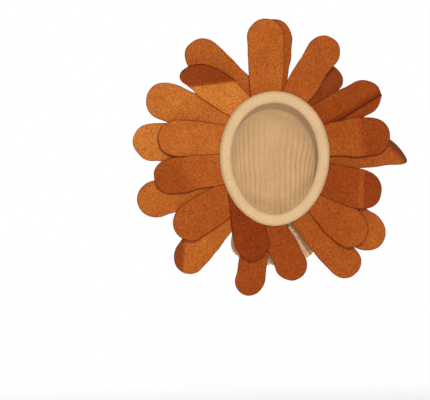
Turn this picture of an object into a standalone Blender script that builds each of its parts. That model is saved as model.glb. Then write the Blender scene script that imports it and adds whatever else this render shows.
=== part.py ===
"""A pet lion mane: a fleece hood with a padded band round the face and two layers of felt petals.

The mane faces -Y and its top points to +Z. The origin is the middle of the face opening, in the
plane of the seam where band, petals and hood meet. Lengths are in metres and angles in degrees.
"""
import math
from collections import namedtuple

import bpy
from mathutils import Vector

# The seam oval round the face opening, which is a little wider at the brow than at the chin
SEAM_WIDTH = 0.0968
SEAM_HEIGHT = 0.1192
BROW_SWELL = 0.05

# The padded band in front of the seam
BAND_WIDTH = 0.0095
BAND_DEPTH = 0.0046
BAND_SEGMENTS = 72

# Felt petals
FELT = 0.0016
FRONT_LENGTH = 0.060
FRONT_WIDTH = 0.0335
BACK_LENGTH = 0.079
BACK_WIDTH = 0.0335
FRONT_LEAN = 5.0
LEAN_BETWEEN_LAYERS = 8.0
PETAL_TUCK = 0.0070
PLY_GAP = 0.0005
PLIES = 4

# The fleece hood behind the petals
HOOD_WALL = 0.0020
NAPE_DEPTH = 0.0780
CROWN_DEPTH = 0.0560
CHIN_DEPTH = 0.0260
CHIN_DROP = 0.0370
NECK_WIDTH = 0.0760
NECK_REACH = 0.0610
CHEEK_SWELL = 0.0020
GATHERS = 44
GATHER_HEIGHT = 0.0022

# The elastic casing at the neck
HEM_WIDTH = 0.0085
HEM_DEPTH = 0.0036

# Space left between neighbouring pieces, and between the hood and the petals' inner ends, whose
# straight facets dip a little below the curve they follow
PIECE_GAP = 0.0003
ROOT_GAP = 0.0004
THROAT_INSET = PETAL_TUCK + ROOT_GAP

FRONT = "front"
BACK = "back"
LAYER_LENGTH = {FRONT: FRONT_LENGTH, BACK: BACK_LENGTH}
LAYER_WIDTH = {FRONT: FRONT_WIDTH, BACK: BACK_WIDTH}
LAYER_LEAN = {FRONT: FRONT_LEAN, BACK: FRONT_LEAN + LEAN_BETWEEN_LAYERS}

# One row for each petal, clockwise from the top as seen from the front. Ply counts up from the back
# of the stack. Root is where the petal leaves the seam, as the oval's own angle, and aim is the
# direction it points in, both clockwise from the top. Length and width are shares of the layer's,
# and foot is the width at the seam as a share of the petal's own. Camber is how far the long edges
# lie back, as a share of the width.
Petal = namedtuple("Petal", "name layer ply root aim length width foot camber")
PETALS = (
    Petal("petal_front_01", FRONT, 3, -8, -1, 1.11, 0.98, 0.80, 0.02),
    Petal("petal_front_02", FRONT, 2, 21, 33, 1.06, 0.86, 0.84, 0.03),
    Petal("petal_front_03", FRONT, 2, 54, 64, 1.03, 0.97, 0.76, 0.00),
    Petal("petal_front_04", FRONT, 3, 75, 83, 0.95, 1.04, 0.76, 0.02),
    Petal("petal_front_05", FRONT, 3, 108, 106, 0.87, 1.08, 0.76, 0.01),
    Petal("petal_front_06", FRONT, 2, 127, 132, 0.96, 1.02, 0.76, 0.03),
    Petal("petal_front_07", FRONT, 2, 183, 154, 0.91, 0.85, 0.76, 0.03),
    Petal("petal_front_08", FRONT, 3, 213, 170, 0.72, 0.92, 0.90, 0.03),
    Petal("petal_front_09", FRONT, 2, 236, 236, 0.99, 1.02, 0.84, 0.02),
    Petal("petal_front_10", FRONT, 3, 261, 262, 1.06, 0.97, 0.80, 0.02),
    Petal("petal_front_11", FRONT, 2, 286, 273, 0.96, 0.99, 0.80, 0.02),
    Petal("petal_front_12", FRONT, 2, 322, 310, 1.10, 1.00, 0.68, 0.00),
    Petal("petal_back_01", BACK, 1, -4, 4, 0.85, 0.99, 0.76, 0.02),
    Petal("petal_back_02", BACK, 0, 34, 39, 0.77, 0.85, 0.76, 0.04),
    Petal("petal_back_03", BACK, 0, 87, 84, 0.98, 0.88, 0.80, 0.02),
    Petal("petal_back_04", BACK, 1, 124, 126, 0.92, 1.02, 0.76, 0.02),
    Petal("petal_back_05", BACK, 0, 148, 137, 0.91, 0.91, 0.78, 0.03),
    Petal("petal_back_06", BACK, 1, 197, 189, 0.86, 0.79, 0.76, 0.03),
    Petal("petal_back_07", BACK, 0, 229, 220, 1.01, 0.95, 0.80, 0.02),
    Petal("petal_back_08", BACK, 1, 253, 253, 1.03, 1.00, 0.80, 0.02),
    Petal("petal_back_09", BACK, 0, 279, 276, 1.01, 1.05, 0.76, 0.02),
    Petal("petal_back_10", BACK, 1, 301, 291, 0.97, 1.02, 0.76, 0.02),
    Petal("petal_back_11", BACK, 0, 334, 313, 0.94, 0.98, 0.78, 0.02),
)

# One row for each fold. Its line passes through the point at_length, at_width: a share of the
# petal's length and a share of its half width towards the clockwise side. Turn is the angle between
# the line and straight across, with the folded part lying towards the tip, or towards the clockwise
# side for a positive turn. A positive angle folds it back. Soft is the fold's radius over the width.
# A petal's folds are listed from the root outwards.
Fold = namedtuple("Fold", "petal at_length at_width turn angle soft")
FOLDS = (
    Fold("petal_front_02", 0.55, 0.0, 5, 6, 0.50),
    Fold("petal_front_03", 0.50, -0.06, 80, 28, 0.14),
    Fold("petal_front_03", 0.60, 0.34, 83, -58, 0.05),
    Fold("petal_front_03", 0.60, 0.64, 83, 38, 0.10),
    Fold("petal_front_03", 0.88, 0.60, 50, 70, 0.08),
    Fold("petal_front_04", 0.52, 0.0, 8, 8, 0.35),
    Fold("petal_front_05", 0.60, 0.0, -14, -10, 0.08),
    Fold("petal_front_05", 0.68, 0.0, -14, 20, 0.08),
    Fold("petal_front_07", 0.40, 0.0, 10, 8, 0.60),
    Fold("petal_front_08", 0.18, 0.0, 22, -22, 0.30),
    Fold("petal_front_08", 0.46, 0.0, 0, 34, 0.60),
    Fold("petal_front_08", 0.86, 0.55, 44, 60, 0.06),
    Fold("petal_front_10", 0.45, 0.0, -17, 9, 0.40),
    Fold("petal_front_12", 0.47, 0.0, 43, -55, 0.08),
    Fold("petal_back_02", 0.04, 0.0, 0, 44, 0.30),
    Fold("petal_back_03", 0.735, 0.0, -37, 72, 0.08),
    Fold("petal_back_06", 0.30, 0.0, 0, 8, 0.80),
    Fold("petal_back_07", 0.71, 0.72, 53, 26, 0.12),
    Fold("petal_back_08", 0.60, 0.0, 10, 6, 0.50),
    Fold("petal_back_11", 0.50, 0.0, -20, -5, 0.60),
)

# The shape shared by all petals: the share of the length at which a petal is widest, the length of
# its round tip over its width, the squareness of that tip, where 2 is an ellipse, and the angle
# round the tip at which its sides meet the arc that ends it
WIDEST_AT = 0.62
TIP_LENGTH = 0.58
TIP_SQUARENESS = 2.15
TIP_END_ANGLE = 56.0
BODY_ROWS = 4
TIP_ROWS = 4
PETAL_COLUMNS = 6
ROOT_ROWS = 2
REACH_SEARCH = 3 * PETAL_TUCK
HALVINGS = 30

# One row for each point of the band's section, from its inner edge over the front to its outer edge:
# inward is the distance inwards from the seam and front the distance in front of it, as shares of
# the band's width and depth
BandPoint = namedtuple("BandPoint", "inward front")
BAND_SECTION = (
    BandPoint(0.92, 0.00),
    BandPoint(1.00, 0.22),
    BandPoint(0.96, 0.60),
    BandPoint(0.74, 0.92),
    BandPoint(0.42, 1.00),
    BandPoint(0.14, 0.86),
    BandPoint(-0.02, 0.42),
    BandPoint(0.00, 0.00),
)

# The casing's section: along is the distance from the hood's edge over the casing's width and out
# the distance outwards from its middle over its depth
HemPoint = namedtuple("HemPoint", "along out")
HEM_SECTION = (
    HemPoint(0.00, 0.28),
    HemPoint(0.22, 0.50),
    HemPoint(0.74, 0.50),
    HemPoint(1.00, 0.20),
    HemPoint(1.00, -0.20),
    HemPoint(0.74, -0.50),
    HemPoint(0.22, -0.50),
    HemPoint(0.00, -0.28),
)

# Stations of the hood from behind the petals to the neck, as shares of its length, the share at
# which its gathers begin, and the share at which the cheeks' swell has died out
HOOD_STATIONS = (0.0, 0.14, 0.30, 0.46, 0.62, 0.78, 0.90, 1.0)
GATHERS_START = 0.22
CHEEK_SWELL_END = 0.70

# The two middle handles of the hood's side curves. Depth is a share of the hood's depth at the
# crown, nape or chin, and rise is a share of the throat's half height, or of the chin's drop
Handle = namedtuple("Handle", "depth rise")
CROWN_HANDLE = Handle(0.85, 1.06)
NAPE_HANDLE = Handle(1.00, 0.45)
CHIN_HANDLE = Handle(0.45, 0.00)
COLLAR_HANDLE = Handle(0.80, 0.55)

# Cloth turns sharper than this are drawn as edges
SHARP_ANGLE = 50.0

# Linear colour and roughness of the two cloths
Cloth = namedtuple("Cloth", "name colour roughness")
FELT_CLOTH = Cloth("rust_felt", (0.44, 0.125, 0.022), 0.95)
FLEECE_CLOTH = Cloth("cream_fleece", (0.70, 0.47, 0.24), 0.90)


def ply_front(ply):
    """How far behind the seam the front face of a ply lies at the petals' roots."""
    return PIECE_GAP + (PLIES - 1 - ply) * (FELT + PLY_GAP)


def throat_depth():
    """Depth of the stack of petals, which the hood passes straight through."""
    return ply_front(0) + FELT + PLY_GAP


def oval_point(clock, inset=0.0):
    """The point of the seam oval at a clockwise angle in radians, moved inwards by inset, in the XZ plane."""
    half_width = SEAM_WIDTH / 2 - inset
    half_height = SEAM_HEIGHT / 2 - inset
    swell = 1 + BROW_SWELL * math.cos(clock)
    return Vector((half_width * swell * math.sin(clock), half_height * math.cos(clock)))


def oval_level(point, inset=0.0):
    """1 on the oval, less inside it and more outside it."""
    half_width = SEAM_WIDTH / 2 - inset
    half_height = SEAM_HEIGHT / 2 - inset
    rise = max(-1.0, min(1.0, point.y / half_height))
    swell = 1 + BROW_SWELL * rise
    return math.hypot(point.x / (half_width * swell), point.y / half_height)


def distance_outside(point):
    """How far a point of the XZ plane lies outside the seam, along the line from the middle."""
    level = oval_level(point)
    return max(0.0, point.length * (1 - 1 / level)) if level > 0 else 0.0


def reach_to_oval(start, direction, inset):
    """How far along direction from start the oval lies, found by halving."""
    near = -REACH_SEARCH
    far = REACH_SEARCH
    for _ in range(HALVINGS):
        middle = (near + far) / 2
        if oval_level(start + direction * middle, inset) < 1:
            near = middle
        else:
            far = middle
    return (near + far) / 2


def fold_point(along, across, behind, length, half_width, fold):
    """Bends a point of a petal round one fold."""
    turn = math.radians(fold.turn)
    normal = (math.cos(turn), math.sin(turn))
    beyond = (along - fold.at_length * length) * normal[0] + (across - fold.at_width * half_width) * normal[1]
    if beyond <= 0:
        return along, across, behind
    sign = math.copysign(1, fold.angle)
    radius = fold.soft * 2 * half_width
    bend = math.radians(abs(fold.angle))
    swept = min(beyond / radius, bend)
    straight = beyond - radius * swept
    lever = radius - sign * behind
    reach = lever * math.sin(swept) + straight * math.cos(swept)
    drop = radius - lever * math.cos(swept) + straight * math.sin(swept)
    shift = reach - beyond
    return along + shift * normal[0], across + shift * normal[1], sign * drop


def half_width_at(share, petal_half_width, foot):
    """Half width of the petal's body at a share of its length, without its round tip."""
    growth = min(1.0, share / WIDEST_AT)
    eased = math.sin(growth * math.pi / 2)
    return petal_half_width * (foot + (1 - foot) * eased)


def petal_rows(length, half_width, foot):
    """The distance from the root and the half width of each row of a petal, up to its end arc."""
    tip = TIP_LENGTH * 2 * half_width
    rows = []
    for row in range(BODY_ROWS):
        along = (length - tip) * row / BODY_ROWS
        rows.append((along, half_width_at(along / length, half_width, foot)))
    power = 2 / TIP_SQUARENESS
    for row in range(TIP_ROWS + 1):
        angle = math.radians(TIP_END_ANGLE) * row / TIP_ROWS
        along = length - tip + tip * math.sin(angle) ** power
        body = half_width_at(along / length, half_width, foot)
        rows.append((along, body * math.cos(angle) ** power))
    return rows


def petal_grid(petal):
    """The flat petal as rows of (along, across) points, its inner end cut to the curve of the hood."""
    length = LAYER_LENGTH[petal.layer] * petal.length
    half_width = LAYER_WIDTH[petal.layer] * petal.width / 2
    tip = TIP_LENGTH * 2 * half_width
    root, aim, side = petal_axes(petal)
    rows = petal_rows(length, half_width, petal.foot)
    end_along, end_half = rows[-1]
    grid = []
    for row, (along, half) in enumerate(rows):
        points = []
        tip_share = max(0, row - BODY_ROWS) / TIP_ROWS
        for column in range(PETAL_COLUMNS + 1):
            across = (2 * column / PETAL_COLUMNS - 1) * half
            end_across = (2 * column / PETAL_COLUMNS - 1) * end_half
            fullness = 1 - abs(end_across / half_width) ** TIP_SQUARENESS
            bulge = length - tip + tip * fullness ** (1 / TIP_SQUARENESS) - end_along
            start = reach_to_oval(root + side * across, aim, PETAL_TUCK)
            root_share = max(0.0, 1 - row / ROOT_ROWS)
            points.append((along + bulge * tip_share ** 2 + start * root_share, across))
        grid.append(points)
    return grid


def petal_axes(petal):
    """Root, aim and clockwise side of a petal in the XZ plane."""
    aim_angle = math.radians(petal.aim)
    root = oval_point(math.radians(petal.root))
    aim = Vector((math.sin(aim_angle), math.cos(aim_angle)))
    side = Vector((math.cos(aim_angle), -math.sin(aim_angle)))
    return root, aim, side


def place_petal_point(petal, along, across, behind):
    """World place of a point of the flat petal that lies behind its front face by a given depth."""
    length = LAYER_LENGTH[petal.layer] * petal.length
    half_width = LAYER_WIDTH[petal.layer] * petal.width / 2
    folds = [fold for fold in FOLDS if fold.petal == petal.name]
    edge_share = across / half_width
    rise_share = max(0.0, min(1.0, along / length))
    camber = petal.camber * 2 * half_width * edge_share ** 2 * rise_share
    point = (along, across, behind)
    for fold in reversed(folds):
        point = fold_point(*point, length, half_width, fold)
    along, across, behind = point
    root, aim, side = petal_axes(petal)
    flat = root + aim * along + side * across
    lean = math.tan(math.radians(LAYER_LEAN[petal.layer])) * distance_outside(flat)
    return Vector((flat.x, ply_front(petal.ply) + behind + lean + camber, flat.y))


def make_petal(petal, material):
    """One felt petal, a sheet of even thickness."""
    grid = petal_grid(petal)
    columns = PETAL_COLUMNS + 1
    front = [place_petal_point(petal, along, across, 0.0) for row in grid for along, across in row]
    back = [place_petal_point(petal, along, across, FELT) for row in grid for along, across in row]
    size = len(front)
    last_row = len(grid) - 1
    faces = []
    for row in range(last_row):
        for column in range(PETAL_COLUMNS):
            corner = row * columns + column
            quad = (corner, corner + 1, corner + columns + 1, corner + columns)
            faces.append(quad)
            faces.append(tuple(size + index for index in reversed(quad)))
    rim = [column for column in range(columns)]
    rim += [row * columns + PETAL_COLUMNS for row in range(1, last_row + 1)]
    rim += [last_row * columns + column for column in range(PETAL_COLUMNS - 1, -1, -1)]
    rim += [row * columns for row in range(last_row - 1, 0, -1)]
    for index, here in enumerate(rim):
        after = rim[(index + 1) % len(rim)]
        faces.append((after, here, size + here, size + after))
    return add_object(petal.name, front + back, faces, material)


def bezier(start, first, second, end, share):
    """A point on a cubic curve."""
    rest = 1 - share
    return (
        start * rest ** 3 + first * 3 * rest ** 2 * share + second * 3 * rest * share ** 2 + end * share ** 3
    )


def hood_section(share):
    """Centre, half height vector and half width of the hood's outer section at a share of its length."""
    depth = throat_depth()
    half_height = SEAM_HEIGHT / 2 - THROAT_INSET
    half_width = SEAM_WIDTH / 2 - THROAT_INSET
    brow = Vector((depth, half_height))
    chin = Vector((depth, -half_height))
    collar = Vector((CHIN_DEPTH, -half_height - CHIN_DROP))
    nape = collar + Vector((NAPE_DEPTH - CHIN_DEPTH, 0))
    nape.y += math.sqrt(max(0.0, NECK_REACH ** 2 - (NAPE_DEPTH - CHIN_DEPTH) ** 2))
    over_crown = Vector((CROWN_DEPTH * CROWN_HANDLE.depth, half_height * CROWN_HANDLE.rise))
    down_nape = Vector((NAPE_DEPTH * NAPE_HANDLE.depth, half_height * NAPE_HANDLE.rise))
    under_chin = chin + Vector((CHIN_DEPTH * CHIN_HANDLE.depth, -CHIN_DROP * CHIN_HANDLE.rise))
    to_collar = Vector((CHIN_DEPTH * COLLAR_HANDLE.depth, -half_height - CHIN_DROP * COLLAR_HANDLE.rise))
    top = bezier(brow, over_crown, down_nape, nape, share)
    bottom = bezier(chin, under_chin, to_collar, collar, share)
    cheek = CHEEK_SWELL * math.sin(math.pi * min(1.0, share / CHEEK_SWELL_END))
    width = half_width + (NECK_WIDTH / 2 - half_width) * share ** 2 + cheek
    return (top + bottom) / 2, (top - bottom) / 2, width


def gather_height(share):
    """How deep the gathers are at a share of the hood's length."""
    growth = max(0.0, (share - GATHERS_START) / (1 - GATHERS_START))
    return GATHER_HEIGHT * growth


def ring_point(centre, half_height, half_width, clock, inset, swell=0.0):
    """A point of a leaning oval section, moved inwards by inset."""
    tall = half_height.length
    up = half_height / tall
    rise = up * (tall - inset) * math.cos(clock)
    width = (half_width - inset) * (1 + swell * math.cos(clock)) * math.sin(clock)
    return Vector((width, centre.x + rise.x, centre.y + rise.y))


def hood_ring(share, inset):
    """One ring of the hood's wall, with a fold out at each gather and a fold in between."""
    centre, half_height, half_width = hood_section(share)
    ripple = gather_height(share) / 2
    swell = BROW_SWELL * (1 - share)
    ring = []
    for index in range(2 * GATHERS):
        clock = math.pi * index / GATHERS
        fold_in = ripple if index % 2 else -ripple
        ring.append(ring_point(centre, half_height, half_width, clock, inset + ripple + fold_in, swell))
    return ring


def throat_ring(depth, inset):
    """A ring of the straight stretch of the hood that passes through the petals."""
    ring = []
    for index in range(2 * GATHERS):
        point = oval_point(math.pi * index / GATHERS, THROAT_INSET + inset)
        ring.append(Vector((point.x, depth, point.y)))
    return ring


def tube_faces(rings, count):
    """Faces between successive rings, and between the last ring and the first, as a closed tube."""
    faces = []
    for ring in range(rings):
        here = ring * count
        beyond = (ring + 1) % rings * count
        for index in range(count):
            after = (index + 1) % count
            faces.append((here + index, here + after, beyond + after, beyond + index))
    return faces


def make_hood(material):
    """The snood: an even wall from the back of the band to the neck, open at both ends."""
    outer = [throat_ring(PIECE_GAP, 0.0)]
    outer += [hood_ring(share, 0.0) for share in HOOD_STATIONS]
    inner = [hood_ring(share, HOOD_WALL) for share in reversed(HOOD_STATIONS)]
    inner.append(throat_ring(PIECE_GAP, HOOD_WALL))
    rings = outer + inner
    vertices = [point for ring in rings for point in ring]
    return add_object("hood", vertices, tube_faces(len(rings), 2 * GATHERS), material)


def make_neck_hem(material):
    """The gathered casing that continues the hood's edge."""
    centre, half_height, half_width = hood_section(1.0)
    up = half_height.normalized()
    outwards = Vector((up.y, -up.x))
    middle_inset = HOOD_WALL / 2
    rings = []
    for point in HEM_SECTION:
        ring = []
        shift = outwards * (PIECE_GAP + point.along * HEM_WIDTH)
        for index in range(2 * GATHERS):
            clock = math.pi * index / GATHERS
            fold_in = GATHER_HEIGHT if index % 2 else 0.0
            inset = middle_inset + fold_in - point.out * HEM_DEPTH
            ring.append(ring_point(centre + shift, half_height, half_width, clock, inset))
        rings.append(ring)
    vertices = [point for ring in rings for point in ring]
    return add_object("neck_hem", vertices, tube_faces(len(rings), 2 * GATHERS), material)


def make_face_band(material):
    """The padded band in front of the seam, with a flat back."""
    vertices = []
    for point in BAND_SECTION:
        for index in range(BAND_SEGMENTS):
            clock = 2 * math.pi * index / BAND_SEGMENTS
            place = oval_point(clock, point.inward * BAND_WIDTH)
            vertices.append(Vector((place.x, -point.front * BAND_DEPTH, place.y)))
    return add_object("face_band", vertices, tube_faces(len(BAND_SECTION), BAND_SEGMENTS), material)


def make_material(cloth):
    """The plain colour of one cloth."""
    material = bpy.data.materials.new(cloth.name)
    material.use_nodes = True
    shader = material.node_tree.nodes["Principled BSDF"]
    shader.inputs["Base Color"].default_value = (*cloth.colour, 1.0)
    shader.inputs["Roughness"].default_value = cloth.roughness
    shader.inputs["Metallic"].default_value = 0.0
    material.diffuse_color = (*cloth.colour, 1.0)
    return material


def add_object(name, vertices, faces, material):
    """A mesh object in the scene, with smooth cloth and sharp cut edges."""
    mesh = bpy.data.meshes.new(name)
    mesh.from_pydata([tuple(vertex) for vertex in vertices], [], faces)
    mesh.validate()
    mesh.materials.append(material)
    mesh.shade_smooth()
    mesh.set_sharp_from_angle(angle=math.radians(SHARP_ANGLE))
    item = bpy.data.objects.new(name, mesh)
    bpy.context.scene.collection.objects.link(item)
    return item


def main():
    """Clears the scene and makes each piece."""
    for item in list(bpy.data.objects):
        bpy.data.objects.remove(item, do_unlink=True)
    felt = make_material(FELT_CLOTH)
    fleece = make_material(FLEECE_CLOTH)
    make_face_band(fleece)
    make_hood(fleece)
    make_neck_hem(fleece)
    for petal in PETALS:
        make_petal(petal, felt)


main()
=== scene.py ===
"""Looks of the pet lion mane wig: felt petals, a padded fleece band, a gathered hood and its casing.

The mane faces -Y and its top points to +Z. The origin is the middle of the face opening, in the
plane of the seam where band, petals and hood meet. Lengths are in metres and angles in degrees.
"""
import logging
import math
from collections.abc import Callable, Sequence
from dataclasses import dataclass, field, replace
from enum import Enum

import bpy
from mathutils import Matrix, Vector, noise


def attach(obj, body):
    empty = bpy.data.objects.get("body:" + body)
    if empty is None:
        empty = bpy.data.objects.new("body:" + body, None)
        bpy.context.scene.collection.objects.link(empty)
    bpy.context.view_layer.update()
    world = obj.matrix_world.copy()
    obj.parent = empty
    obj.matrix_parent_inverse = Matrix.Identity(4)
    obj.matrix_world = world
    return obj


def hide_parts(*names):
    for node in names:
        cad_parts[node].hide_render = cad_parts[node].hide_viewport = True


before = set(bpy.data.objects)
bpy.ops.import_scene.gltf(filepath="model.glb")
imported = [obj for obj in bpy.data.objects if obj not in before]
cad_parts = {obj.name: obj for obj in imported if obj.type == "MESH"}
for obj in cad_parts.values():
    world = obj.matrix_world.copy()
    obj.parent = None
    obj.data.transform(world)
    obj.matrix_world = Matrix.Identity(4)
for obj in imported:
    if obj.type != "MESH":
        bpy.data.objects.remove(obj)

LOG = logging.getLogger("lion_mane")
BODY = "root"

Triple = tuple[float, float, float]
Colour = Triple
Quad = tuple[int, int, int, int]


class Layer(Enum):
    """The two layers of petals."""

    FRONT = "front"
    BACK = "back"


class Hold(Enum):
    """How a sheet of cloth is held, in the frame's own words."""

    HUNG = "hung"
    FOLDED = "folded"
    GATHERED = "gathered"


class Slot(Enum):
    """The record's material slots."""

    FELT = "rust_felt"
    FLEECE = "cream_fleece"


# Cut of the felt


@dataclass(frozen=True)
class LayerCut:
    """The size that all petals of a layer are shares of.

    Attributes:
        length: From the seam to the tip.
        width: At the widest place.
        lean: How far the layer leans back from the seam's plane, in degrees.
    """

    length: float
    width: float
    lean: float


@dataclass(frozen=True)
class Petal:
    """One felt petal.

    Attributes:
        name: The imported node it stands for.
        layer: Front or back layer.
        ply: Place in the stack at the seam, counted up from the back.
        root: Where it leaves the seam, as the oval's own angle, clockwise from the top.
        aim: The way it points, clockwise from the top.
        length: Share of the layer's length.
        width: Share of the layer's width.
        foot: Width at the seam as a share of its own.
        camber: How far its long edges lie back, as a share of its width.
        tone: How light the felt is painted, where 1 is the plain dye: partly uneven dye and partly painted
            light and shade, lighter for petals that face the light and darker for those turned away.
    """

    name: str
    layer: Layer
    ply: int
    root: float
    aim: float
    length: float
    width: float
    foot: float
    camber: float
    tone: float = 1.0


@dataclass(frozen=True)
class Fold:
    """A bend of a petal about a straight line.

    Attributes:
        at_length: Where the line passes, as a share of the length.
        at_width: Where the line passes, as a share of the half width, clockwise side positive.
        turn: Angle between the line and straight across.
        angle: How far the part beyond the line turns, back where positive.
        soft: Radius of the bend as a share of the width.
    """

    at_length: float
    at_width: float
    turn: float
    angle: float
    soft: float


@dataclass(frozen=True)
class PaintedShade:
    """A straight line on a petal beyond which the felt is painted darker or lighter: painted shade where it
    bends away from the light or dips into a crease, painted highlight where it rises in a ridge.

    Attributes:
        at_length: Where the line passes, as a share of the length.
        at_width: Where the line passes, as a share of the half width, clockwise side positive.
        turn: Angle between the line and straight across.
        tone: How light the felt beyond it is painted, against the rest.
        soft: Width of the change as a share of the petal's width.
    """

    at_length: float
    at_width: float
    turn: float
    tone: float
    soft: float


CUTS: dict[Layer, LayerCut] = {
    Layer.FRONT: LayerCut(length=0.060, width=0.0335, lean=5.0),
    Layer.BACK: LayerCut(length=0.079, width=0.0335, lean=13.0),
}

# The last column, tone, paints each petal lighter or darker for the light that falls on it, on top of uneven
# dye.
PETALS: tuple[Petal, ...] = (
    Petal("petal_front_01", Layer.FRONT, 3, -8, -1, 1.11, 0.98, 0.80, 0.02, 1.00),
    Petal("petal_front_02", Layer.FRONT, 2, 21, 33, 1.06, 0.86, 0.84, 0.03, 0.92),
    Petal("petal_front_03", Layer.FRONT, 2, 54, 65, 1.02, 1.02, 0.76, 0.00, 0.738),
    Petal("petal_front_04", Layer.FRONT, 3, 74, 85, 0.96, 1.06, 0.76, 0.02, 0.845),
    Petal("petal_front_05", Layer.FRONT, 3, 108, 106, 0.885, 1.08, 0.76, 0.01, 0.716),
    Petal("petal_front_06", Layer.FRONT, 2, 127, 132, 0.96, 1.02, 0.76, 0.03, 0.85),
    Petal("petal_front_07", Layer.FRONT, 2, 183, 154, 0.91, 0.85, 0.76, 0.03, 0.75),
    Petal("petal_front_08", Layer.FRONT, 3, 213, 170, 0.72, 0.92, 0.90, 0.03, 0.60),
    Petal("petal_front_09", Layer.FRONT, 2, 236, 236, 0.99, 1.02, 0.84, 0.02, 0.87),
    Petal("petal_front_10", Layer.FRONT, 3, 261, 262, 1.03, 0.97, 0.80, 0.02, 0.93),
    Petal("petal_front_11", Layer.FRONT, 2, 286, 273, 0.96, 0.99, 0.80, 0.02, 1.065),
    Petal("petal_front_12", Layer.FRONT, 2, 322, 310, 1.10, 1.00, 0.68, 0.00, 1.265),
    Petal("petal_back_01", Layer.BACK, 1, -4, 4, 0.85, 0.99, 0.76, 0.02, 0.91),
    Petal("petal_back_02", Layer.BACK, 0, 34, 41, 0.78, 0.85, 0.76, 0.04, 0.74),
    Petal("petal_back_03", Layer.BACK, 0, 87, 84, 1.00, 0.88, 0.80, 0.02, 0.91),
    Petal("petal_back_04", Layer.BACK, 1, 124, 126, 0.92, 1.02, 0.76, 0.02, 0.945),
    Petal("petal_back_05", Layer.BACK, 0, 148, 137, 0.92, 0.91, 0.78, 0.03, 0.89),
    Petal("petal_back_06", Layer.BACK, 1, 197, 189, 0.86, 0.79, 0.76, 0.03, 0.77),
    Petal("petal_back_07", Layer.BACK, 0, 229, 220, 1.01, 0.95, 0.80, 0.02, 1.025),
    Petal("petal_back_08", Layer.BACK, 1, 253, 253, 1.03, 1.00, 0.80, 0.02, 1.05),
    Petal("petal_back_09", Layer.BACK, 0, 279, 276, 1.01, 1.05, 0.76, 0.02, 1.235),
    Petal("petal_back_10", Layer.BACK, 1, 301, 291, 0.98, 1.04, 0.76, 0.02, 1.155),
    Petal("petal_back_11", Layer.BACK, 0, 334, 313, 0.94, 0.98, 0.78, 0.02, 1.01),
)

# Folds of each petal, listed from the root outwards
FOLDS: dict[str, tuple[Fold, ...]] = {
    "petal_front_02": (Fold(0.55, 0.0, 5, 6, 0.50),),
    "petal_front_03": (
        Fold(0.50, -0.06, 80, 28, 0.14),
        Fold(0.60, 0.34, 83, -100, 0.02),
        Fold(0.60, 0.46, 83, 72, 0.055),
        Fold(0.88, 0.68, 50, 70, 0.08),
    ),
    "petal_front_04": (Fold(0.52, 0.0, 8, 8, 0.35),),
    "petal_front_05": (Fold(0.60, 0.0, -14, -10, 0.08), Fold(0.68, 0.0, -14, 20, 0.08)),
    "petal_front_07": (Fold(0.40, 0.0, 10, 8, 0.60),),
    "petal_front_08": (
        Fold(0.18, 0.0, 22, -14, 0.30),
        Fold(0.46, 0.0, 0, 22, 0.60),
        Fold(0.84, 0.52, 44, 105, 0.06),
    ),
    "petal_front_10": (Fold(0.45, 0.0, -17, 9, 0.40),),
    "petal_front_12": (Fold(0.47, 0.0, 43, -55, 0.08),),
    "petal_back_02": (Fold(0.04, 0.0, 0, 44, 0.30),),
    "petal_back_03": (Fold(0.66, 0.0, -37, 72, 0.28),),
    "petal_back_06": (Fold(0.30, 0.0, 0, 8, 0.80),),
    "petal_back_07": (Fold(0.71, 0.72, 53, 26, 0.12),),
    "petal_back_08": (Fold(0.60, 0.0, 10, 6, 0.50),),
    "petal_back_11": (Fold(0.50, 0.0, -20, -5, 0.60),),
}

# Lines on each petal beyond which painted shade or a painted highlight is laid
PAINTED_SHADES: dict[str, tuple[PaintedShade, ...]] = {
    "petal_front_03": (
        PaintedShade(0.60, 0.16, 83, 0.78, 0.26),
        PaintedShade(0.60, 0.35, 83, 0.60, 0.06),
        PaintedShade(0.60, 0.45, 83, 2.00, 0.02),
    ),
    "petal_front_04": (PaintedShade(0.54, 0.0, -6, 0.84, 0.30),),
    "petal_front_05": (PaintedShade(0.60, 0.0, -14, 1.17, 0.05), PaintedShade(0.68, 0.0, -14, 0.79, 0.05)),
    "petal_front_10": (PaintedShade(0.50, 0.0, -22, 0.87, 0.60),),
    "petal_front_12": (PaintedShade(0.47, 0.0, 43, 0.585, 0.06),),
    "petal_back_03": (PaintedShade(0.78, 0.0, -37, 0.68, 0.34),),
    "petal_back_07": (PaintedShade(0.71, 0.72, 53, 0.735, 0.10),),
}


# Meshes


@dataclass
class Shell:
    """Points, faces and point attributes of one piece while it is being made."""

    points: list[Vector] = field(default_factory=list)
    faces: list[Quad] = field(default_factory=list)
    numbers: dict[str, list[float]] = field(default_factory=dict)
    vectors: dict[str, list[Vector]] = field(default_factory=dict)

    def tube(self, rings: int, count: int) -> None:
        """Joins successive rings, and the last to the first, as a closed tube.

        Args:
            rings: Number of rings.
            count: Points in each ring.
        """
        for ring in range(rings):
            here = ring * count
            beyond = (ring + 1) % rings * count
            for index in range(count):
                after = (index + 1) % count
                self.faces.append((here + index, here + after, beyond + after, beyond + index))

    def piece(self, name: str) -> bpy.types.Object:
        """Makes the object.

        Args:
            name: Its name.

        Returns:
            A smooth mesh object in the scene, with the attributes on its points.
        """
        mesh = bpy.data.meshes.new(name)
        mesh.from_pydata([tuple(point) for point in self.points], [], self.faces)
        mesh.validate()
        for label, values in self.numbers.items():
            mesh.attributes.new(label, "FLOAT", "POINT").data.foreach_set("value", values)
        for label, arrows in self.vectors.items():
            flat = [number for arrow in arrows for number in arrow]
            mesh.attributes.new(label, "FLOAT_VECTOR", "POINT").data.foreach_set("vector", flat)
        mesh.shade_smooth()
        item = bpy.data.objects.new(name, mesh)
        bpy.context.scene.collection.objects.link(item)
        return item


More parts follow.
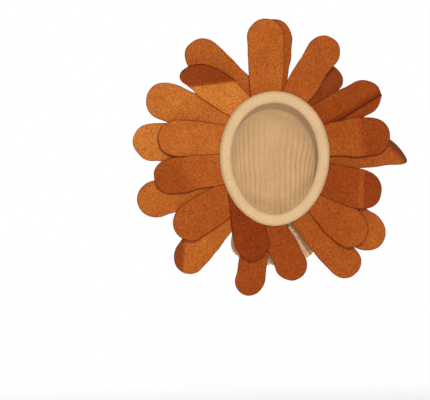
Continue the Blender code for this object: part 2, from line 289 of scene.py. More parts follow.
def flat_area(grid: Sequence[Sequence[tuple[float, float]]]) -> float:
    """Area of a flat grid of points.

    Args:
        grid: Rows of (along, across) points.

    Returns:
        The area in square metres.
    """
    total = 0.0
    for row, above in zip(grid, grid[1:]):
        for column in range(len(row) - 1):
            corners = (row[column], row[column + 1], above[column + 1], above[column])
            for (ax, ay), (bx, by) in zip(corners, corners[1:] + corners[:1]):
                total += (ax * by - bx * ay) / 2
    return abs(total)


def smooth_loop(corners: Sequence[tuple[float, float]], steps: int) -> list[tuple[float, float]]:
    """A closed curve through a few corners.

    Args:
        corners: Points that the curve passes through.
        steps: Points made from each corner to the next.

    Returns:
        Points of the closed curve.
    """
    loop = []
    count = len(corners)
    for index in range(count):
        before, here, after, beyond = (Vector(corners[(index + shift) % count]) for shift in (-1, 0, 1, 2))
        for step in range(steps):
            share = step / steps
            bend = (before * -1 + here * 3 - after * 3 + beyond) * share ** 3
            bend += (before * 2 - here * 5 + after * 4 - beyond) * share ** 2
            bend += (after - before) * share
            point = here + bend * 0.5
            loop.append((point.x, point.y))
    return loop


# Node trees


class Graph:
    """A short way to write a node tree."""

    def __init__(self, tree: bpy.types.NodeTree) -> None:
        """Starts on a tree.

        Args:
            tree: The tree that nodes are added to.
        """
        self.tree = tree

    def add(
        self, kind: str, inputs: dict[str | int, object] | None = None, **settings: object
    ) -> bpy.types.Node:
        """Adds a node.

        Args:
            kind: Blender's name for the node.
            inputs: For each input, by name or number, a value or the socket that feeds it.
            **settings: Properties of the node.

        Returns:
            The node.
        """
        node = self.tree.nodes.new(kind)
        for label, value in settings.items():
            setattr(node, label, value)
        for key, value in (inputs or {}).items():
            socket = node.inputs[key]
            if isinstance(value, bpy.types.NodeSocket):
                self.tree.links.new(value, socket)
            else:
                socket.default_value = value
        return node

    def maths(self, operation: str, first: object, second: object = 0.0) -> bpy.types.NodeSocket:
        """One sum of two numbers.

        Args:
            operation: Blender's name for it.
            first: A number or a socket.
            second: A number or a socket.

        Returns:
            The result's socket.
        """
        return self.add("ShaderNodeMath", {0: first, 1: second}, operation=operation).outputs[0]

    def vector_maths(self, operation: str, first: object, second: object) -> bpy.types.NodeSocket:
        """One sum of two vectors.

        Args:
            operation: Blender's name for it.
            first: A vector or a socket.
            second: A vector or a socket.

        Returns:
            The result's socket.
        """
        return self.add("ShaderNodeVectorMath", {0: first, 1: second}, operation=operation).outputs[0]

    def grow(self, arrow: object, length: object) -> bpy.types.NodeSocket:
        """A vector made longer or shorter.

        Args:
            arrow: A vector's socket.
            length: A number or a socket.

        Returns:
            The result's socket.
        """
        node = self.add("ShaderNodeVectorMath", {0: arrow}, operation="SCALE")
        scale = node.inputs["Scale"]
        if isinstance(length, bpy.types.NodeSocket):
            self.tree.links.new(length, scale)
        else:
            scale.default_value = length
        return node.outputs[0]

    def mix(self, share: object, first: object, second: object, blend: str = "MIX") -> bpy.types.NodeSocket:
        """A mix of two colours.

        Args:
            share: How much of the second, as a number or a socket.
            first: A colour or a socket.
            second: A colour or a socket.
            blend: Blender's name for the way they mix.

        Returns:
            The colour's socket.
        """
        inputs = {0: share, 6: first, 7: second}
        return self.add("ShaderNodeMix", inputs, data_type="RGBA", blend_type=blend).outputs[2]

    def noise(
        self,
        place: object,
        scale: float,
        detail: float = 2.0,
        roughness: float = 0.5,
        distortion: float = 0.0,
    ) -> bpy.types.NodeSocket:
        """Soft noise.

        Args:
            place: Where it is read, as a vector's socket.
            scale: Lumps per metre.
            detail: Finer layers added to it.
            roughness: Share of each finer layer.
            distortion: How far it is stirred.

        Returns:
            The noise's value, about 0.5 on average.
        """
        inputs = {
            "Vector": place,
            "Scale": scale,
            "Detail": detail,
            "Roughness": roughness,
            "Distortion": distortion,
        }
        return self.add("ShaderNodeTexNoise", inputs).outputs[0]

    def ramp(
        self, value: object, low: float, high: float, start: float = 0.0, end: float = 1.0
    ) -> bpy.types.NodeSocket:
        """Maps one range of a value to another and holds it at the ends.

        Args:
            value: The value's socket.
            low: Value at the start of its range.
            high: Value at the end of its range.
            start: Result at the start.
            end: Result at the end.

        Returns:
            The result's socket.
        """
        return self.add("ShaderNodeMapRange", {0: value, 1: low, 2: high, 3: start, 4: end}).outputs[0]

    def reading(self, label: str, kind: str = "FLOAT") -> bpy.types.NodeSocket:
        """The value of a named attribute at each point."""
        return self.add("GeometryNodeInputNamedAttribute", {"Name": label}, data_type=kind).outputs[0]

    def feed(self, node: bpy.types.Node, label: str, socket: bpy.types.NodeSocket) -> None:
        """Links a socket to a node's named input."""
        self.tree.links.new(socket, node.inputs[label])

    def emboss(
        self, shader: bpy.types.Node, height: bpy.types.NodeSocket, strength: float, distance: float
    ) -> None:
        """Gives a shader a bumpy surface.

        Args:
            shader: The shader.
            height: The height's socket.
            strength: How strongly the bumps show.
            distance: Their height.
        """
        inputs = {"Strength": strength, "Distance": distance, "Height": height}
        self.feed(shader, "Normal", self.add("ShaderNodeBump", inputs).outputs[0])


def paint(colour: Colour) -> tuple[float, float, float, float]:
    """A colour with full cover."""
    return (*colour, 1.0)


@dataclass(frozen=True)
class ClothTree:
    """Base of the geometry trees: it opens a tree, closes it and dresses an object with it."""

    name: str
    sockets: tuple[tuple[str, str], ...] = ()

    def open(self) -> tuple[bpy.types.NodeTree, Graph, bpy.types.Node]:
        """Starts the tree.

        Returns:
            The tree, a graph on it and its input node.
        """
        tree = bpy.data.node_groups.new(self.name, "GeometryNodeTree")
        tree.is_modifier = True
        tree.interface.new_socket("Geometry", in_out="INPUT", socket_type="NodeSocketGeometry")
        for label, kind in self.sockets:
            tree.interface.new_socket(label, in_out="INPUT", socket_type=kind)
        tree.interface.new_socket("Finish", in_out="INPUT", socket_type="NodeSocketMaterial")
        tree.interface.new_socket("Geometry", in_out="OUTPUT", socket_type="NodeSocketGeometry")
        graph = Graph(tree)
        return tree, graph, graph.add("NodeGroupInput")

    def move(
        self, graph: Graph, start: bpy.types.Node, offset: bpy.types.NodeSocket
    ) -> bpy.types.NodeSocket:
        """Moves each point of the cloth.

        Args:
            graph: The graph on the tree.
            start: The tree's input node.
            offset: How far each point moves.

        Returns:
            The moved geometry.
        """
        inputs = {"Geometry": start.outputs["Geometry"], "Offset": offset}
        return graph.add("GeometryNodeSetPosition", inputs).outputs[0]

    def close(self, graph: Graph, start: bpy.types.Node, made: bpy.types.NodeSocket) -> None:
        """Ends the tree: everything is made real and given its finish.

        Args:
            graph: The graph on the tree.
            start: The tree's input node.
            made: The geometry so far.
        """
        real = graph.add("GeometryNodeRealizeInstances", {0: made})
        inputs = {"Geometry": real.outputs[0], "Material": start.outputs["Finish"]}
        dressed = graph.add("GeometryNodeSetMaterial", inputs)
        graph.add("NodeGroupOutput", {0: dressed.outputs[0]})


def dress(item: bpy.types.Object, tree: bpy.types.NodeTree, values: dict[str, object]) -> None:
    """Puts an object through a geometry tree and keeps the result as its mesh.

    Args:
        item: The object.
        tree: The tree.
        values: The tree's inputs by name.
    """
    modifier = item.modifiers.new(tree.name, "NODES")
    modifier.node_group = tree
    for socket in tree.interface.items_tree:
        if socket.in_out == "INPUT" and socket.name in values:
            modifier[socket.identifier] = values[socket.name]
    graph = bpy.context.evaluated_depsgraph_get()
    shown = item.evaluated_get(graph)
    mesh = bpy.data.meshes.new_from_object(shown, preserve_all_data_layers=True, depsgraph=graph)
    plain = item.data
    item.modifiers.remove(modifier)
    item.data = mesh
    bpy.data.meshes.remove(plain)
    mesh.name = item.name


@dataclass(frozen=True)
class Relief(ClothTree):
    """Low lumps all over a cloth, as matted fibres and padding give."""

    name: str = "cloth_relief"
    sockets: tuple[tuple[str, str], ...] = (
        ("Height", "NodeSocketFloat"),
        ("Lumps per metre", "NodeSocketFloat"),
        ("Seed", "NodeSocketFloat"),
    )

    def build(self) -> bpy.types.NodeTree:
        """Builds the tree.

        Returns:
            The tree, which moves each point along its normal.
        """
        tree, graph, start = self.open()
        lumps = graph.add(
            "ShaderNodeTexNoise",
            {"W": start.outputs["Seed"], "Scale": start.outputs["Lumps per metre"], "Detail": 2.0},
            noise_dimensions="4D",
        )
        rise = graph.maths("SUBTRACT", lumps.outputs[0], 0.5)
        rise = graph.maths("MULTIPLY", rise, start.outputs["Height"])
        normal = graph.add("GeometryNodeInputNormal").outputs[0]
        self.close(graph, start, self.move(graph, start, graph.grow(normal, rise)))
        return tree


@dataclass(frozen=True)
class Gathers(ClothTree):
    """Gathers of a cloth tube that an elastic draws in.

    The tube's points carry three attributes: around, from 0 to 1 round the tube, pull, the share of
    the gathers' full depth, and outward, the way out from the tube's middle.

    Attributes:
        drift_scale: Changes of the gathers' spacing, per metre.
        ridge_power: More than 1 for valleys wider than the ridges.
    """

    name: str = "elastic_gathers"
    sockets: tuple[tuple[str, str], ...] = (
        ("Count", "NodeSocketFloat"),
        ("Depth", "NodeSocketFloat"),
        ("Wander", "NodeSocketFloat"),
        ("Seed", "NodeSocketFloat"),
    )
    drift_scale: float = 38.0
    ridge_power: float = 1.25

    def build(self) -> bpy.types.NodeTree:
        """Builds the tree.

        Returns:
            The tree, which moves both faces of the wall inwards between the gathers.
        """
        tree, graph, start = self.open()
        drift = graph.add(
            "ShaderNodeTexNoise",
            {"W": start.outputs["Seed"], "Scale": self.drift_scale, "Detail": 1.0},
            noise_dimensions="4D",
        )
        wander = graph.maths("SUBTRACT", drift.outputs[0], 0.5)
        wander = graph.maths("MULTIPLY", wander, start.outputs["Wander"])
        turns = graph.maths("MULTIPLY", graph.reading("around"), start.outputs["Count"])
        turns = graph.maths("ADD", turns, wander)
        ridge = graph.maths("ABSOLUTE", graph.maths("COSINE", graph.maths("MULTIPLY", turns, math.pi)))
        valley = graph.maths("SUBTRACT", graph.maths("POWER", ridge, self.ridge_power), 1.0)
        depth = graph.maths("MULTIPLY", valley, graph.reading("pull"))
        depth = graph.maths("MULTIPLY", depth, start.outputs["Depth"])
        offset = graph.grow(graph.reading("outward", "FLOAT_VECTOR"), depth)
        self.close(graph, start, self.move(graph, start, offset))
        return tree


@dataclass(frozen=True)
class StitchRow(ClothTree):
    """A row of thread stitches along a path, laid on a cloth."""

    name: str = "stitch_row"
    sockets: tuple[tuple[str, str], ...] = (
        ("Cloth", "NodeSocketObject"),
        ("Count", "NodeSocketInt"),
        ("Length", "NodeSocketFloat"),
        ("Thickness", "NodeSocketFloat"),
    )

    def build(self) -> bpy.types.NodeTree:
        """Builds the tree.

        Returns:
            The tree, which lays evenly spaced points of the path on the cloth, with a stitch on each.
        """
        tree, graph, start = self.open()
        path = graph.add("GeometryNodeMeshToCurve", {0: start.outputs["Geometry"]})
        spaced = graph.add(
            "GeometryNodeResampleCurve", {"Curve": path.outputs[0], "Count": start.outputs["Count"]}
        )
        cloth = graph.add(
            "GeometryNodeObjectInfo", {"Object": start.outputs["Cloth"]}, transform_space="RELATIVE"
        )
        near = graph.add("GeometryNodeProximity", {0: cloth.outputs["Geometry"]}, target_element="FACES")
        laid = graph.add(
            "GeometryNodeSetPosition", {"Geometry": spaced.outputs[0], "Position": near.outputs["Position"]}
        )
        tangent = graph.add("GeometryNodeInputTangent").outputs[0]
        turned = graph.add("FunctionNodeAlignRotationToVector", {"Vector": tangent}, axis="Z")
        bead = graph.add("GeometryNodeMeshUVSphere", {"Segments": 8, "Rings": 6, "Radius": 0.5})
        girth = start.outputs["Thickness"]
        size = graph.add("ShaderNodeCombineXYZ", {0: girth, 1: girth, 2: start.outputs["Length"]}).outputs[0]
        stitches = graph.add(
            "GeometryNodeInstanceOnPoints",
            {
                "Points": laid.outputs[0],
                "Instance": bead.outputs[0],
                "Rotation": turned.outputs[0],
                "Scale": size,
            },
        )
        self.close(graph, start, stitches.outputs[0])
        return tree


@dataclass(frozen=True)
class Fuzz(ClothTree):
    """Loose fibres that stand up from the face of a cloth.

    Attributes:
        foot: Where a fibre starts, in lengths of it.
        knee: Where it bends over.
        tip: Where it ends.
        stray: How far a fibre tilts from the others, in radians.
        shortest: The shortest fibre as a share of the longest.
    """

    name: str = "loose_fibres"
    sockets: tuple[tuple[str, str], ...] = (
        ("Fibres per square metre", "NodeSocketFloat"),
        ("Length", "NodeSocketFloat"),
        ("Thickness", "NodeSocketFloat"),
        ("Seed", "NodeSocketInt"),
    )
    foot: Triple = (0.0, 0.0, -0.1)
    knee: Triple = (0.15, 0.0, 0.45)
    tip: Triple = (0.85, 0.2, 0.40)
    stray: float = 0.35
    shortest: float = 0.45

    def build(self) -> bpy.types.NodeTree:
        """Builds the tree.

        Returns:
            The tree, which turns the cloth into its loose fibres alone.
        """
        tree, graph, start = self.open()
        spread = graph.add(
            "GeometryNodeDistributePointsOnFaces",
            {
                "Mesh": start.outputs["Geometry"],
                "Density": start.outputs["Fibres per square metre"],
                "Seed": start.outputs["Seed"],
            },
        )
        hair = graph.add(
            "GeometryNodeCurveQuadraticBezier",
            {"Resolution": 3, "Start": self.foot, "Middle": self.knee, "End": self.tip},
        )
        thin = graph.maths("DIVIDE", start.outputs["Thickness"], start.outputs["Length"])
        ring = graph.add("GeometryNodeCurvePrimitiveCircle", {"Resolution": 3, "Radius": thin})
        fibre = graph.add(
            "GeometryNodeCurveToMesh",
            {"Curve": hair.outputs[0], "Profile Curve": ring.outputs[0], "Fill Caps": True},
        )
        whirl = graph.add(
            "FunctionNodeRandomValue",
            {
                "Min": (-self.stray, -self.stray, 0.0),
                "Max": (self.stray, self.stray, math.tau),
                "Seed": start.outputs["Seed"],
            },
            data_type="FLOAT_VECTOR",
        )
        turned = graph.add(
            "FunctionNodeRotateRotation",
            {"Rotation": spread.outputs["Rotation"], "Rotate By": whirl.outputs[0]},
            rotation_space="LOCAL",
        )
        reach = graph.add("FunctionNodeRandomValue", {2: self.shortest, 3: 1.0}, data_type="FLOAT")
        size = graph.maths("MULTIPLY", reach.outputs[1], start.outputs["Length"])
        fibres = graph.add(
            "GeometryNodeInstanceOnPoints",
            {
                "Points": spread.outputs["Points"],
                "Instance": fibre.outputs[0],
                "Rotation": turned.outputs[0],
                "Scale": size,
            },
        )
        self.close(graph, start, fibres.outputs[0])
        return tree


# Finishes


@dataclass(frozen=True)
class Finish:
    """Base of the cloth finishes: a Principled material with its even values set on the shader.

    Attributes:
        name: The material's name.
        roughness: Roughness of the surface.
        gloss: Strength of its mirror-like reflection.
        sheen: Strength of the soft glow of standing fibres.
        sheen_tint: Colour of that glow.
    """

    name: str
    roughness: float = 0.9
    gloss: float = 0.15
    sheen: float = 0.3
    sheen_tint: Colour = (1.0, 1.0, 1.0)

    def start(self) -> tuple[bpy.types.Material, Graph, bpy.types.Node]:
        """Makes the material.

        Returns:
            The material, a graph on its nodes and its shader.
        """
        material = bpy.data.materials.new(self.name)
        material.use_nodes = True
        shader = material.node_tree.nodes["Principled BSDF"]
        shader.inputs["Metallic"].default_value = 0.0
        shader.inputs["Roughness"].default_value = self.roughness
        shader.inputs["Specular IOR Level"].default_value = self.gloss
        shader.inputs["Sheen Weight"].default_value = self.sheen
        shader.inputs["Sheen Roughness"].default_value = 0.5
        shader.inputs["Sheen Tint"].default_value = paint(self.sheen_tint)
        return material, Graph(material.node_tree), shader


@dataclass(frozen=True)
class FeltFinish(Finish):
    """Matted wool felt in uneven rust dye, with painted light and shade from each petal's tone.

    Attributes:
        dye: The plain colour.
        deep: The colour where the fibres lie close.
        bright: The colour of loose light fibres.
        lays: Ways that the fibres lie, in degrees.
        strand: Fibres per metre along, through and across a strand.
        mottle: Specks per metre.
        mottle_roughness: How strong the finest specks are.
        cloud: Slow changes of tone per metre.
        deep_share: How far the close fibres take the deep colour.
        bright_share: How far the loose fibres take the bright colour.
        tint_powers: How fast red, green and blue follow a petal's tone, so that painted shade also turns the
            felt deeper and redder.
        bump: Strength and height of the matted face.
    """

    name: str = "rust_felt_cloth"
    roughness: float = 0.95
    sheen: float = 0.06
    sheen_tint: Colour = (1.0, 0.55, 0.25)
    dye: Colour = (0.47, 0.114, 0.0150)
    deep: Colour = (0.25, 0.045, 0.0045)
    bright: Colour = (0.72, 0.245, 0.045)
    lays: tuple[float, ...] = (20.0, 78.0, 143.0)
    strand: Triple = (260.0, 600.0, 1500.0)
    mottle: float = 600.0
    mottle_roughness: float = 0.7
    cloud: float = 46.0
    deep_share: float = 0.75
    bright_share: float = 0.60
    tint_powers: Triple = (1.25, 2.3, 3.2)
    bump: tuple[float, float] = (0.55, 0.0004)

    def strands(self, graph: Graph, place: bpy.types.NodeSocket) -> bpy.types.NodeSocket:
        """Crossed fibres that lie on each other.

        Args:
            graph: The graph on the material's nodes.
            place: Where they are read.

        Returns:
            The highest fibre's value at each place.
        """
        top: object = 0.0
        for turn in self.lays:
            rotation = (0.3, math.radians(turn), turn)
            turned = graph.add("ShaderNodeMapping", {"Vector": place, "Rotation": rotation})
            drawn = graph.add("ShaderNodeMapping", {"Vector": turned.outputs[0], "Scale": self.strand})
            fibres = graph.noise(drawn.outputs[0], 1.0, detail=1.0, distortion=0.4)
            top = graph.maths("MAXIMUM", top, fibres)
        return top

    def material(self) -> bpy.types.Material:
        """Makes the material.

        Returns:
            Felt with mottled dye, crossed fibres and a matted, bumpy face.
        """
        material, graph, shader = self.start()
        place = graph.add("ShaderNodeTexCoord").outputs["Object"]
        mottle = graph.noise(place, self.mottle, detail=3.0, roughness=self.mottle_roughness)
        strand = self.strands(graph, place)
        dark = graph.maths("MULTIPLY", graph.ramp(mottle, 0.36, 0.60, 1.0, 0.0), self.deep_share)
        light = graph.maths("MULTIPLY", graph.ramp(strand, 0.60, 0.78), self.bright_share)
        base = graph.mix(dark, paint(self.dye), paint(self.deep))
        base = graph.mix(light, base, paint(self.bright))
        drift = graph.ramp(graph.noise(place, self.cloud), 0.3, 0.7, 0.95, 1.05)
        # The tone attribute paints light and shade onto the felt: each petal's lighting, its creases and its
        # darker cut edges, over some uneven dye.
        tone = graph.add("ShaderNodeAttribute", attribute_name="tone").outputs["Fac"]
        shade = graph.maths("MULTIPLY", drift, tone)
        channels = {index: graph.maths("POWER", shade, power) for index, power in enumerate(self.tint_powers)}
        tint = graph.add("ShaderNodeCombineColor", channels)
        base = graph.mix(1.0, base, tint.outputs[0], "MULTIPLY")
        graph.feed(shader, "Base Color", base)
        height = graph.maths("MULTIPLY", mottle, 0.7)
        height = graph.maths("ADD", height, graph.maths("MULTIPLY", strand, 0.6))
        graph.emboss(shader, height, *self.bump)
        return material


@dataclass(frozen=True)
class FleeceFinish(Finish):
    """Brushed cream fleece.

    Attributes:
        pile: The plain colour.
        shade: The colour between the tufts.
        tip: The colour of the tufts' tips.
        tufts: Tufts per metre.
        fibres: Fibres per metre.
        cloud: Slow changes of tone per metre.
        bump: Strength and height of the tufts.
    """

    name: str = "cream_fleece_cloth"
    roughness: float = 0.9
    sheen: float = 0.30
    sheen_tint: Colour = (1.0, 0.92, 0.80)
    pile: Colour = (0.68, 0.46, 0.245)
    shade: Colour = (0.58, 0.37, 0.185)
    tip: Colour = (0.76, 0.56, 0.33)
    tufts: float = 560.0
    fibres: float = 900.0
    cloud: float = 60.0
    bump: tuple[float, float] = (0.45, 0.0004)

    def material(self) -> bpy.types.Material:
        """Makes the material.

        Returns:
            Fleece with small brushed tufts, light tips and slow changes of tone.
        """
        material, graph, shader = self.start()
        place = graph.add("ShaderNodeTexCoord").outputs["Object"]
        tufts = graph.add("ShaderNodeTexVoronoi", {"Vector": place, "Scale": self.tufts, "Randomness": 1.0})
        nap = graph.noise(place, self.fibres, detail=3.0, roughness=0.6)
        hollow = graph.maths("MULTIPLY", graph.ramp(tufts.outputs["Distance"], 0.25, 0.75), 0.5)
        lift = graph.maths("MULTIPLY", graph.ramp(nap, 0.45, 0.70), 0.5)
        drift = graph.ramp(graph.noise(place, self.cloud), 0.3, 0.7, 0.94, 1.06)
        base = graph.mix(hollow, paint(self.pile), paint(self.shade))
        base = graph.mix(lift, base, paint(self.tip))
        even = graph.add("ShaderNodeCombineColor", {0: drift, 1: drift, 2: drift}).outputs[0]
        base = graph.mix(1.0, base, even, "MULTIPLY")
        graph.feed(shader, "Base Color", base)
        rise = graph.maths("SUBTRACT", graph.maths("MULTIPLY", nap, 0.6), hollow)
        graph.emboss(shader, rise, *self.bump)
        return material


@dataclass(frozen=True)
class ThreadFinish(Finish):
    """Spun polyester thread.

    Attributes:
        colour: The thread's dye.
        groove: Its colour between the twisted strands.
    """

    name: str = "sewing_thread"
    roughness: float = 0.6
    sheen: float = 0.10
    colour: Colour = (0.66, 0.45, 0.24)
    groove: Colour = (0.40, 0.26, 0.13)

    def material(self) -> bpy.types.Material:
        """Makes the material.

        Returns:
            Thread with its twist as a fine band pattern and bump.
        """
        material, graph, shader = self.start()
        place = graph.add("ShaderNodeTexCoord").outputs["Object"]
        twist = graph.add(
            "ShaderNodeTexWave",
            {"Vector": place, "Scale": 900.0, "Distortion": 1.5, "Detail": 1.0},
            bands_direction="DIAGONAL",
        )
        base = graph.mix(twist.outputs[1], paint(self.groove), paint(self.colour))
        graph.feed(shader, "Base Color", base)
        graph.emboss(shader, twist.outputs[1], 0.4, 0.0001)
        return material


@dataclass(frozen=True)
class FloorFinish(Finish):
    """Matt white studio paper.

    Attributes:
        colour: The plain colour.
        shade: The colour that it drifts towards a little.
        fade: Radii between which it fades out.
    """

    name: str = "studio_paper"
    roughness: float = 0.9
    sheen: float = 0.0
    colour: Colour = (0.93, 0.93, 0.93)
    shade: Colour = (0.88, 0.88, 0.88)
    fade: tuple[float, float] = (0.30, 1.0)

    def material(self) -> bpy.types.Material:
        """Makes the material.

        Returns:
            White paper with the faintest change of tone, which fades out towards its rim.
        """
        material, graph, shader = self.start()
        place = graph.add("ShaderNodeTexCoord").outputs["Object"]
        cloud = graph.maths("MULTIPLY", graph.noise(place, 3.0), 0.02)
        graph.feed(shader, "Base Color", graph.mix(cloud, paint(self.colour), paint(self.shade)))
        flat = graph.vector_maths("MULTIPLY", place, (1.0, 1.0, 0.0))
        away = graph.add("ShaderNodeVectorMath", {0: flat}, operation="LENGTH").outputs["Value"]
        cover = graph.add("ShaderNodeMapRange", {0: away, 1: self.fade[0], 2: self.fade[1], 3: 1.0, 4: 0.0})
        cover.interpolation_type = "SMOOTHERSTEP"
        graph.feed(shader, "Alpha", cover.outputs[0])
        return material


@dataclass(frozen=True)
class Lumps:
    """Low lumps of one piece of cloth.

    Attributes:
        height: From the deepest place to the highest.
        per_metre: How many lie along a metre.
        seed: Picks their pattern.
    """

    height: float
    per_metre: float
    seed: float = 0.0


@dataclass
class Wardrobe:
    """The finishes and trees that the pieces share.

    Attributes:
        wander: How far gathers stray from even spacing, in gathers.
        gather_seed: Picks how they stray, the same for hood and casing.
    """

    wander: float = 0.9
    gather_seed: float = 4.0
    felt: bpy.types.Material = field(default_factory=lambda: FeltFinish().material())
    fleece: bpy.types.Material = field(default_factory=lambda: FleeceFinish().material())
    thread: bpy.types.Material = field(default_factory=lambda: ThreadFinish().material())
    paper: bpy.types.Material = field(default_factory=lambda: FloorFinish().material())
    relief: bpy.types.NodeTree = field(default_factory=lambda: Relief().build())
    gathers: bpy.types.NodeTree = field(default_factory=lambda: Gathers().build())
    stitches: bpy.types.NodeTree = field(default_factory=lambda: StitchRow().build())
    fuzz: bpy.types.NodeTree = field(default_factory=lambda: Fuzz().build())

    def roughen(self, item: bpy.types.Object, lumps: Lumps, finish: bpy.types.Material) -> None:
        """Gives a cloth its low lumps and its finish.

        Args:
            item: The cloth.
            lumps: Their height, number and seed.
            finish: The cloth's material.
        """
        values = {
            "Height": lumps.height,
            "Lumps per metre": lumps.per_metre,
            "Seed": lumps.seed,
            "Finish": finish,
        }
        dress(item, self.relief, values)

    def draw_in(self, item: bpy.types.Object, count: int, depth: float) -> None:
        """Gives a fleece tube the gathers of the neck's elastic.

        Args:
            item: The tube.
            count: Gathers round it.
            depth: Their depth where the elastic pulls in full.
        """
        values = {
            "Count": float(count),
            "Depth": depth,
            "Wander": self.wander,
            "Seed": self.gather_seed,
            "Finish": self.fleece,
        }
        dress(item, self.gathers, values)


# Sub-assemblies


@dataclass(frozen=True)
class SeamOval:
    """The seam round the face opening.

    Attributes:
        width: Full width.
        height: Full height.
        brow_swell: How much wider it is at the brow than at the middle, as a share.
    """

    width: float = 0.0968
    height: float = 0.1192
    brow_swell: float = 0.05

    def point(self, clock: float, inset: float = 0.0) -> Vector:
        """A point of the oval in the XZ plane.

        Args:
            clock: The oval's own angle in radians, clockwise from the top.
            inset: How far inside the oval it lies.

        Returns:
            The point.
        """
        swell = 1 + self.brow_swell * math.cos(clock)
        across = (self.width / 2 - inset) * swell * math.sin(clock)
        return Vector((across, (self.height / 2 - inset) * math.cos(clock)))

    def level(self, point: Vector, inset: float = 0.0) -> float:
        """How far out a point lies.

        Args:
            point: A point in the XZ plane.
            inset: How far the oval is moved inwards.

        Returns:
            1 on the oval, less inside it and more outside it.
        """
        half_height = self.height / 2 - inset
        rise = max(-1.0, min(1.0, point.y / half_height))
        across = (self.width / 2 - inset) * (1 + self.brow_swell * rise)
        return math.hypot(point.x / across, point.y / half_height)

    def outside(self, point: Vector) -> float:
        """How far a point lies outside the seam, along the line from the middle."""
        level = self.level(point)
        return max(0.0, point.length * (1 - 1 / level)) if level > 0 else 0.0

    def reach(self, start: Vector, direction: Vector, inset: float) -> float:
        """How far from a point the moved oval lies.

        Args:
            start: Where the line starts, in the XZ plane.
            direction: The way it runs.
            inset: How far the oval is moved inwards.

        Returns:
            The distance along the line, found by halving.
        """
        near, far = -3 * inset, 3 * inset
        for _ in range(30):
            middle = (near + far) / 2
            if self.level(start + direction * middle, inset) < 1:
                near = middle
            else:
                far = middle
        return (near + far) / 2


